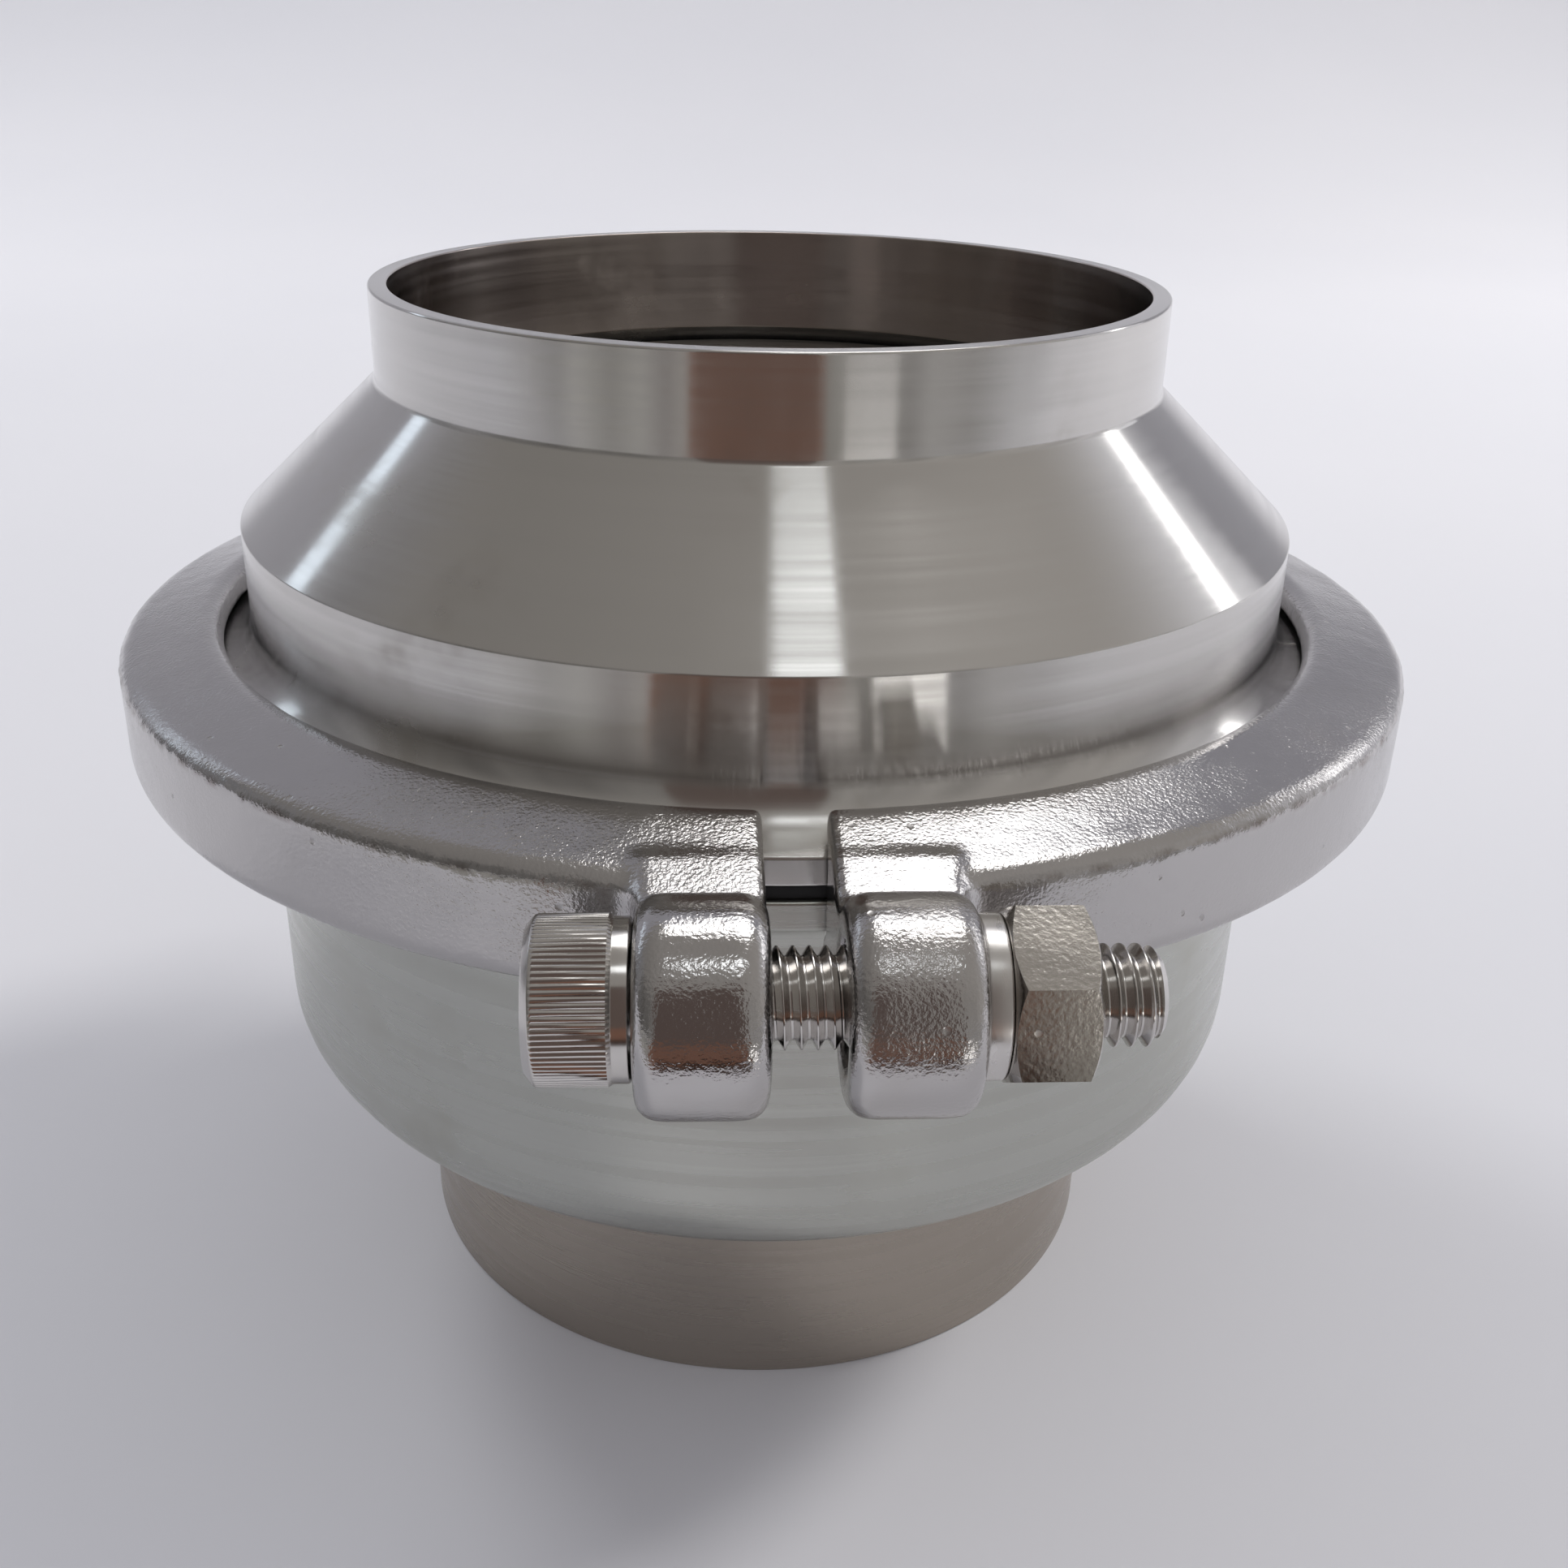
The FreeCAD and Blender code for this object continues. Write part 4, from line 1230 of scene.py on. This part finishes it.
# %% Spin the circlip
CLIP_R = 6.5
CLIP_GAP = 3.0
clip_angle = 2 * math.asin(CLIP_GAP / 2 / 5.0)
clip_outline = [(STEM_R - 0.5, clip_low, 0.12), (CLIP_R, clip_low, 0.12),
                (CLIP_R, clip_high, 0.12), (STEM_R - 0.5, clip_high, 0.12)]
circlip = part_turned("circlip_spring", clip_outline, VALVE_AXIS, clip_angle / 2,
                      2 * math.pi - clip_angle, 90, corner_steps=3)
shade(circlip)
hand_over(circlip, "plug", "stem_circlip", SPRING_STEEL)

# %% [markdown]
# ## Return spring
#
# A compression spring has about one dead turn at each end, so that it stands flat. A curve follows
# that: the turns close up at both ends and are even between. It is given a round bevel and turned
# into a mesh. A Screw modifier would wind it too, but only at one constant pitch.
#
# In the real valve the spring shortens when the plug opens; here it is wound at one length.

# %% Wind the spring
SPRING_R = 11.0
WIRE_R = 0.9
TURNS = 7.5
DEAD = 1.0
spring_low, spring_high = heights("return_spring")
coil_height = spring_high - spring_low - 2 * WIRE_R
dead_rise = 2 * WIRE_R * 1.04
live_rise = (coil_height - 2 * DEAD * dead_rise) / (TURNS - 2 * DEAD)
STEPS_PER_TURN = 40


def coil_z(turn):
    """Height of the wire's middle after so many turns."""
    if turn < DEAD:
        return turn * dead_rise
    if turn > TURNS - DEAD:
        return coil_height - (TURNS - turn) * dead_rise
    return DEAD * dead_rise + (turn - DEAD) * live_rise


coil = bpy.data.curves.new("coil", "CURVE")
coil.dimensions = "3D"
coil.bevel_depth = WIRE_R * mm
coil.bevel_resolution = 4
coil.use_fill_caps = True
path = coil.splines.new("POLY")
path.points.add(int(TURNS * STEPS_PER_TURN))
for i, point in enumerate(path.points):
    turn = i / STEPS_PER_TURN
    a = 2 * math.pi * turn
    z = spring_low + WIRE_R + coil_z(turn)
    point.co = (SPRING_R * math.cos(a) * mm, SPRING_R * math.sin(a) * mm, z * mm, 1)
return_spring = bpy.data.objects.new("return_spring_coil", coil)
bpy.context.scene.collection.objects.link(return_spring)
make_active(return_spring)
bpy.ops.object.convert(target="MESH")
return_spring = bpy.context.object
edit(return_spring)
close_skin(1e-6)
bpy.ops.object.shade_smooth_by_angle(angle=math.radians(40))
hand_over(return_spring, "valve_body", "return_spring", SPRING_STEEL)
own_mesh(return_spring)

# %% [markdown]
# ## Guide
#
# The stem runs in a PTFE bush pressed into a hub. Three arms carry the hub from a ring that is
# gripped in the lower flange. The ring, hub, bush and the washer under the spring are turned; one
# arm is a plate, and the other two are copies turned by a third of a circle.

# %% Turn the ring, hub, bush and spring seat
def plain_ring(name, node, body, material, inner_r, outer_r, edge, steps):
    """A turned ring that takes its height from the node it stands for."""
    low, high = heights(node)
    outline = [(inner_r, low, edge), (outer_r, low, edge), (outer_r, high, edge),
               (inner_r, high, edge)]
    ring = turned(name, outline, steps=steps)
    shade(ring)
    hand_over(ring, body, node, material)
    return ring


RING_IN_R = 51.0
RING_OUT_R = 55.2
HUB_R = 8.0
BUSH_R = 6.0
plain_ring("guide_rim_ring", "guide_ring", "valve_body", INNER_TURNED,
           RING_IN_R, RING_OUT_R, 0.3, ROUND_STEPS)
plain_ring("guide_hub_sleeve", "guide_hub", "valve_body", INNER_TURNED,
           BUSH_R, HUB_R, 0.3, 96)
plain_ring("guide_bush_sleeve", "guide_bush", "valve_body", WHITE_PTFE,
           STEM_R + 0.05, BUSH_R, 0.25, 96)
plain_ring("spring_seat_washer", "spring_seat", "valve_body", NUT_STEEL,
           HUB_R + 0.1, 14.0, 0.25, 128)

# %% [markdown]
# ### Arms
#
# An arm is a plate 3 mm thick. Its outline is drawn once, filled, given its thickness with an
# extrude, and its edges are rounded. It stops a hair inside the hub and the ring, as a welded arm
# does.

# %% Make the three arms
ARM_T = 3.0
arm_low, arm_high = heights("guide_arms")
ARM_TOP = 62.0
arm_outline = [
    (HUB_R - 0.3, arm_low, 0), (HUB_R - 0.3, ARM_TOP, 0), (HUB_R + 22.0, ARM_TOP, 3.0),
    (RING_IN_R - 0.4, arm_high, 0.6), (RING_IN_R + 0.2, arm_high, 0.2),
    (RING_IN_R + 0.2, recess_z - 2.6, 0), (RING_IN_R - 8.0, arm_low, 3.0)]
arms = []
for i in range(3):
    arm = draw_outline(f"arm_{i}", arm_outline, VALVE_AXIS, closed=True)
    bpy.ops.mesh.select_all(action="SELECT")
    bpy.ops.transform.translate(value=(0, -ARM_T / 2 * mm, 0))
    bpy.ops.mesh.edge_face_add()
    bpy.ops.mesh.extrude_region_move(TRANSFORM_OT_translate={"value": (0, ARM_T * mm, 0)})
    bpy.ops.mesh.select_all(action="SELECT")
    bpy.ops.mesh.normals_make_consistent(inside=False)
    bpy.ops.transform.rotate(value=-math.radians(90 + 120 * i), orient_axis="Z",
                             center_override=(0, 0, 0))
    bpy.ops.object.mode_set(mode="OBJECT")
    apply_modifier(arm, "BEVEL", width=0.4 * mm, segments=3, limit_method="ANGLE",
                   angle_limit=math.radians(50))
    arms.append(arm)
make_active(arms[0])
for arm in arms[1:]:
    arm.select_set(True)
bpy.ops.object.join()
guide_arms = named("guide_arms_plates")
shade(guide_arms)
hand_over(guide_arms, "valve_body", "guide_arms", INNER_TURNED)

# %% [markdown]
# ## Camera
#
# The valve is seen from the screw's side, 25 degrees from above and very close, so that the nearer
# parts look larger. The lens is short and the camera leans by about a degree.

# %% Place the camera
CAMERA_AT = Vector((-8.08, -185.17, 140.43)) * mm
YAW = 0.0576
PITCH_DOWN = 0.4368
ROLL = 0.022
LENS = 38.1

ahead = Vector((math.sin(YAW) * math.cos(PITCH_DOWN), math.cos(YAW) * math.cos(PITCH_DOWN),
                -math.sin(PITCH_DOWN)))
right = Vector((math.cos(YAW), -math.sin(YAW), 0))
up = right.cross(ahead)
rolled_right = right * math.cos(ROLL) + up * math.sin(ROLL)
rolled_up = up * math.cos(ROLL) - right * math.sin(ROLL)
turn = Matrix((rolled_right, rolled_up, -ahead)).transposed().to_4x4()
clear_selection()
bpy.ops.object.camera_add(location=(0, 0, 0))
camera = bpy.context.object
camera.name = "camera"
camera.matrix_world = Matrix.Translation(CAMERA_AT) @ turn
camera.data.sensor_width = 36.0
camera.data.lens = LENS
camera.data.clip_start = 0.01
bpy.context.scene.camera = camera
print("camera at", [round(c, 3) for c in CAMERA_AT])

# %% [markdown]
# ## Floor and light
#
# Bright metal shows its surroundings, so the studio matters as much as the metal. The valve stands
# on a pale sheet that curves up behind it.
#
# There are two kinds of light. The two tall windows, the lamp behind and the panel above are seen
# only in reflections: the windows draw the bright strips on the cone, the lamp draws the patch in
# its middle, and the panel brightens the tops of the ears. The two daylights light only the sheet
# and the dull pieces, and throw the soft shadow to the left.

# %% Floor
SHEET_HALF = 3.0
SHEET_BACK = 2.2
SHEET_UP = 3.5
clear_selection()
bpy.ops.mesh.primitive_plane_add(size=1.0, location=(0, 0, 0))
floor = named("floor")
edit(floor)
bpy.ops.transform.resize(value=(2 * SHEET_HALF, 2 * SHEET_HALF, 1), center_override=(0, 0, 0))
bpy.ops.transform.translate(value=(0, SHEET_BACK - SHEET_HALF, cad_low.z))
pick("EDGE", lambda e: all(v.co.y > SHEET_BACK - 0.01 for v in e.verts))
bpy.ops.mesh.extrude_edges_move(TRANSFORM_OT_translate={"value": (0, 0, SHEET_UP)})
pick("EDGE", lambda e: all(v.co.y > SHEET_BACK - 0.01 and v.co.z < 0.1 for v in e.verts))
bpy.ops.mesh.bevel(offset=1.3, segments=24, affect="EDGES")
bpy.ops.object.mode_set(mode="OBJECT")
bpy.ops.object.shade_smooth()
paper, paper_tree, paper_shader = new_material("paper")
paper_place = add_node(paper_tree, "ShaderNodeTexCoord").outputs["Object"]
paper_colour = blend(paper_tree, cloud(paper_tree, paper_place, 3.0),
                     (0.74, 0.74, 0.77, 1.0), (0.80, 0.79, 0.81, 1.0))
wire(paper_tree, paper_colour, paper_shader.inputs["Base Color"])
paper_shader.inputs["Roughness"].default_value = 0.9
paper_shader.inputs["Specular IOR Level"].default_value = 0.1
floor.data.materials.append(paper)


# %% Panels of light
def softbox(name, centre, size, watts, colour, mirrored_only, tall=(0, 0, 1)):
    """A rectangular light that faces the valve; it lights either reflections or dull things."""
    clear_selection()
    bpy.ops.object.light_add(type="AREA", location=(0, 0, 0))
    light = named(name)
    back = (Vector(centre) - Vector((0, 0, joint_z * mm))).normalized()
    across = Vector(tall).cross(back).normalized()
    facing = Matrix((across, back.cross(across), back)).transposed().to_4x4()
    light.matrix_world = Matrix.Translation(centre) @ facing
    light.data.shape = "RECTANGLE"
    light.data.size, light.data.size_y = size
    light.data.energy = watts
    light.data.color = colour
    light.visible_camera = False
    light.visible_diffuse = not mirrored_only
    light.visible_glossy = mirrored_only
    return light


softbox("window_right", (0.897, 0.473, 0.562), (0.085, 0.56), 0.42, (1.0, 1.0, 1.0), True,
        tall=(-0.307, 0.277, 0.264))
softbox("window_left", (-0.844, 0.573, 0.543), (0.095, 0.54), 0.19, (0.74, 0.87, 1.0), True,
        tall=(0.325, 0.241, 0.263))
softbox("panel_above", (0.10, -0.40, 1.15), (0.20, 0.16), 0.24, (0.92, 0.97, 1.0), True)
softbox("lamp_behind", (0.27, 0.66, 1.44), (0.69, 0.66), 4.6, (1.0, 1.0, 1.0), True)
softbox("daylight_right", (1.35, 0.62, 1.10), (0.4, 0.4), 16.5, (1.0, 0.99, 0.97), False)
softbox("daylight_left", (-0.85, 1.0, 1.1), (0.5, 0.5), 8.0, (0.96, 0.98, 1.0), False)


# %% [markdown]
# ### Flags
#
# A flag is a plain card that only reflections see: it throws no shadow and never shows in a
# picture. The desk lies where the sheet ends in front. Its tone changes with the direction from the
# valve, which breaks up the reflection on the neck into upright bands, brown in the middle. On it
# lie a dark near edge and a bright strip of paper, and a grey-brown card stands for the person
# behind the camera.

# %% Cards that only reflections see
BROWN = (0.20, 0.108, 0.078)
GREY_BROWN = (0.125, 0.095, 0.085)
FRONT_TONES = [
    (-180, (0.40, 0.40, 0.41)), (-100, (0.46, 0.46, 0.47)), (-72, (0.40, 0.39, 0.38)),
    (-60, (0.30, 0.29, 0.28)), (-54, (0.44, 0.43, 0.41)), (-44, (0.30, 0.29, 0.27)),
    (-36, (0.42, 0.41, 0.39)), (-29, (0.27, 0.25, 0.24)), (-24, (0.38, 0.36, 0.34)),
    (-22.5, BROWN), (11, BROWN), (12.5, (0.28, 0.27, 0.25)), (24, (0.36, 0.35, 0.34)),
    (34, (0.26, 0.25, 0.24)), (40, (0.40, 0.39, 0.38)), (52, (0.30, 0.29, 0.28)),
    (66, (0.46, 0.46, 0.47)), (80, (0.36, 0.36, 0.37)), (180, (0.40, 0.40, 0.41))]


def tone_by_direction(tree):
    """A colour that changes with the direction from the valve's axis, in degrees from -Y."""
    place = add_node(tree, "ShaderNodeTexCoord").outputs["Object"]
    x, y = split(tree, place)[:2]
    angle = calc(tree, "ARCTAN2", x, calc(tree, "MULTIPLY", y, -1.0))
    share = calc(tree, "ADD", calc(tree, "DIVIDE", angle, 2 * math.pi), 0.5)
    ramp = add_node(tree, "ShaderNodeValToRGB", inputs={0: share})
    stops = ramp.color_ramp.elements
    stops[0].color = (*FRONT_TONES[0][1], 1)
    stops[1].color = (*FRONT_TONES[-1][1], 1)
    for degrees, tone in FRONT_TONES[1:-1]:
        stop = stops.new(degrees / 360 + 0.5)
        stop.color = (*tone, 1)
    return ramp.outputs[0]


def flag(name, corners, tone=None):
    """A card between four corners in metres, seen only in reflections."""
    clear_selection()
    bpy.ops.mesh.primitive_plane_add(size=1.0, location=(0, 0, 0))
    card = named(name)
    for vertex, place in zip(card.data.vertices, corners):
        vertex.co = place
    look, tree, glow = new_material(name)
    glow.inputs["Base Color"].default_value = (0, 0, 0, 1)
    glow.inputs["Specular IOR Level"].default_value = 0.0
    if tone is None:
        wire(tree, tone_by_direction(tree), glow.inputs["Emission Color"])
    else:
        glow.inputs["Emission Color"].default_value = (*tone, 1)
    glow.inputs["Emission Strength"].default_value = 1.0
    card.data.materials.append(look)
    card.visible_camera = False
    card.visible_diffuse = False
    card.visible_shadow = False
    card.visible_transmission = False
    return card


flag("desk", [(-1.3, -1.5, 0.004), (1.3, -1.5, 0.004), (-1.3, -0.19, 0.004),
              (1.3, -0.19, 0.004)])
flag("near_edge", [(-0.055, -0.24, 0.005), (0.05, -0.24, 0.005), (-0.055, -0.189, 0.005),
                   (0.05, -0.189, 0.005)], (0.035, 0.018, 0.012))
flag("paper_strip", [(0.086, -0.285, 0.006), (0.165, -0.285, 0.006), (0.069, -0.225, 0.006),
                     (0.135, -0.225, 0.006)], (3.0, 2.95, 2.9))
flag("person", [(-0.24, -0.62, 0.005), (0.11, -0.62, 0.005), (-0.24, -0.62, 0.70),
                (0.11, -0.62, 0.70)], GREY_BROWN)
print("the desk has", len(FRONT_TONES), "tones")

# %% [markdown]
# ### The room
#
# Everything else is the room: pale and even for the camera and for the soft light on the sheet.
# In reflections it is light low down at the back, brighter to the right, dimmer overhead, and dim
# and warm in front.

# %% World
EVEN_PALE = (0.47, 0.47, 0.50, 1.0)
FRONT_WALL = (0.36, 0.345, 0.33, 1.0)
BACK_WALL = (0.72, 0.72, 0.76, 1.0)
CEILING = (0.31, 0.295, 0.28)


def make_room():
    """A pale room whose reflection is dimmer overhead and in front."""
    room = bpy.data.worlds.new("room")
    room.use_nodes = True
    tree = room.node_tree
    background = tree.nodes["Background"]
    x, y, z = split(tree, add_node(tree, "ShaderNodeTexCoord").outputs["Generated"])
    wall = blend(tree, remap(tree, y, -0.3, 0.5, kind="SMOOTHSTEP"), FRONT_WALL, BACK_WALL)
    sides = remap(tree, x, -1.0, 1.0, 0.40, 1.2)
    upright = cloud(tree, direction(tree, vector_of(tree, x, y)), 2.6, 3.0, 0.7)
    bands = remap(tree, upright, 0.35, 0.65, 0.6, 1.3)
    lit_wall = scaled(tree, wall, calc(tree, "MULTIPLY", sides, bands))
    ceiling = scaled(tree, CEILING, remap(tree, x, -0.6, 0.6, 0.85, 1.35))
    overhead = remap(tree, z, 0.45, 0.75, kind="SMOOTHSTEP")
    seen = blend(tree, overhead, lit_wall, ceiling)
    ray = add_node(tree, "ShaderNodeLightPath")
    colour = blend(tree, ray.outputs["Is Glossy Ray"], EVEN_PALE, seen)
    wire(tree, colour, background.inputs["Color"])
    background.inputs["Strength"].default_value = 1.0
    bpy.context.scene.world = room
    return room


make_room()
bpy.context.scene.view_settings.view_transform = "Standard"
print("world:", bpy.context.scene.world.name)
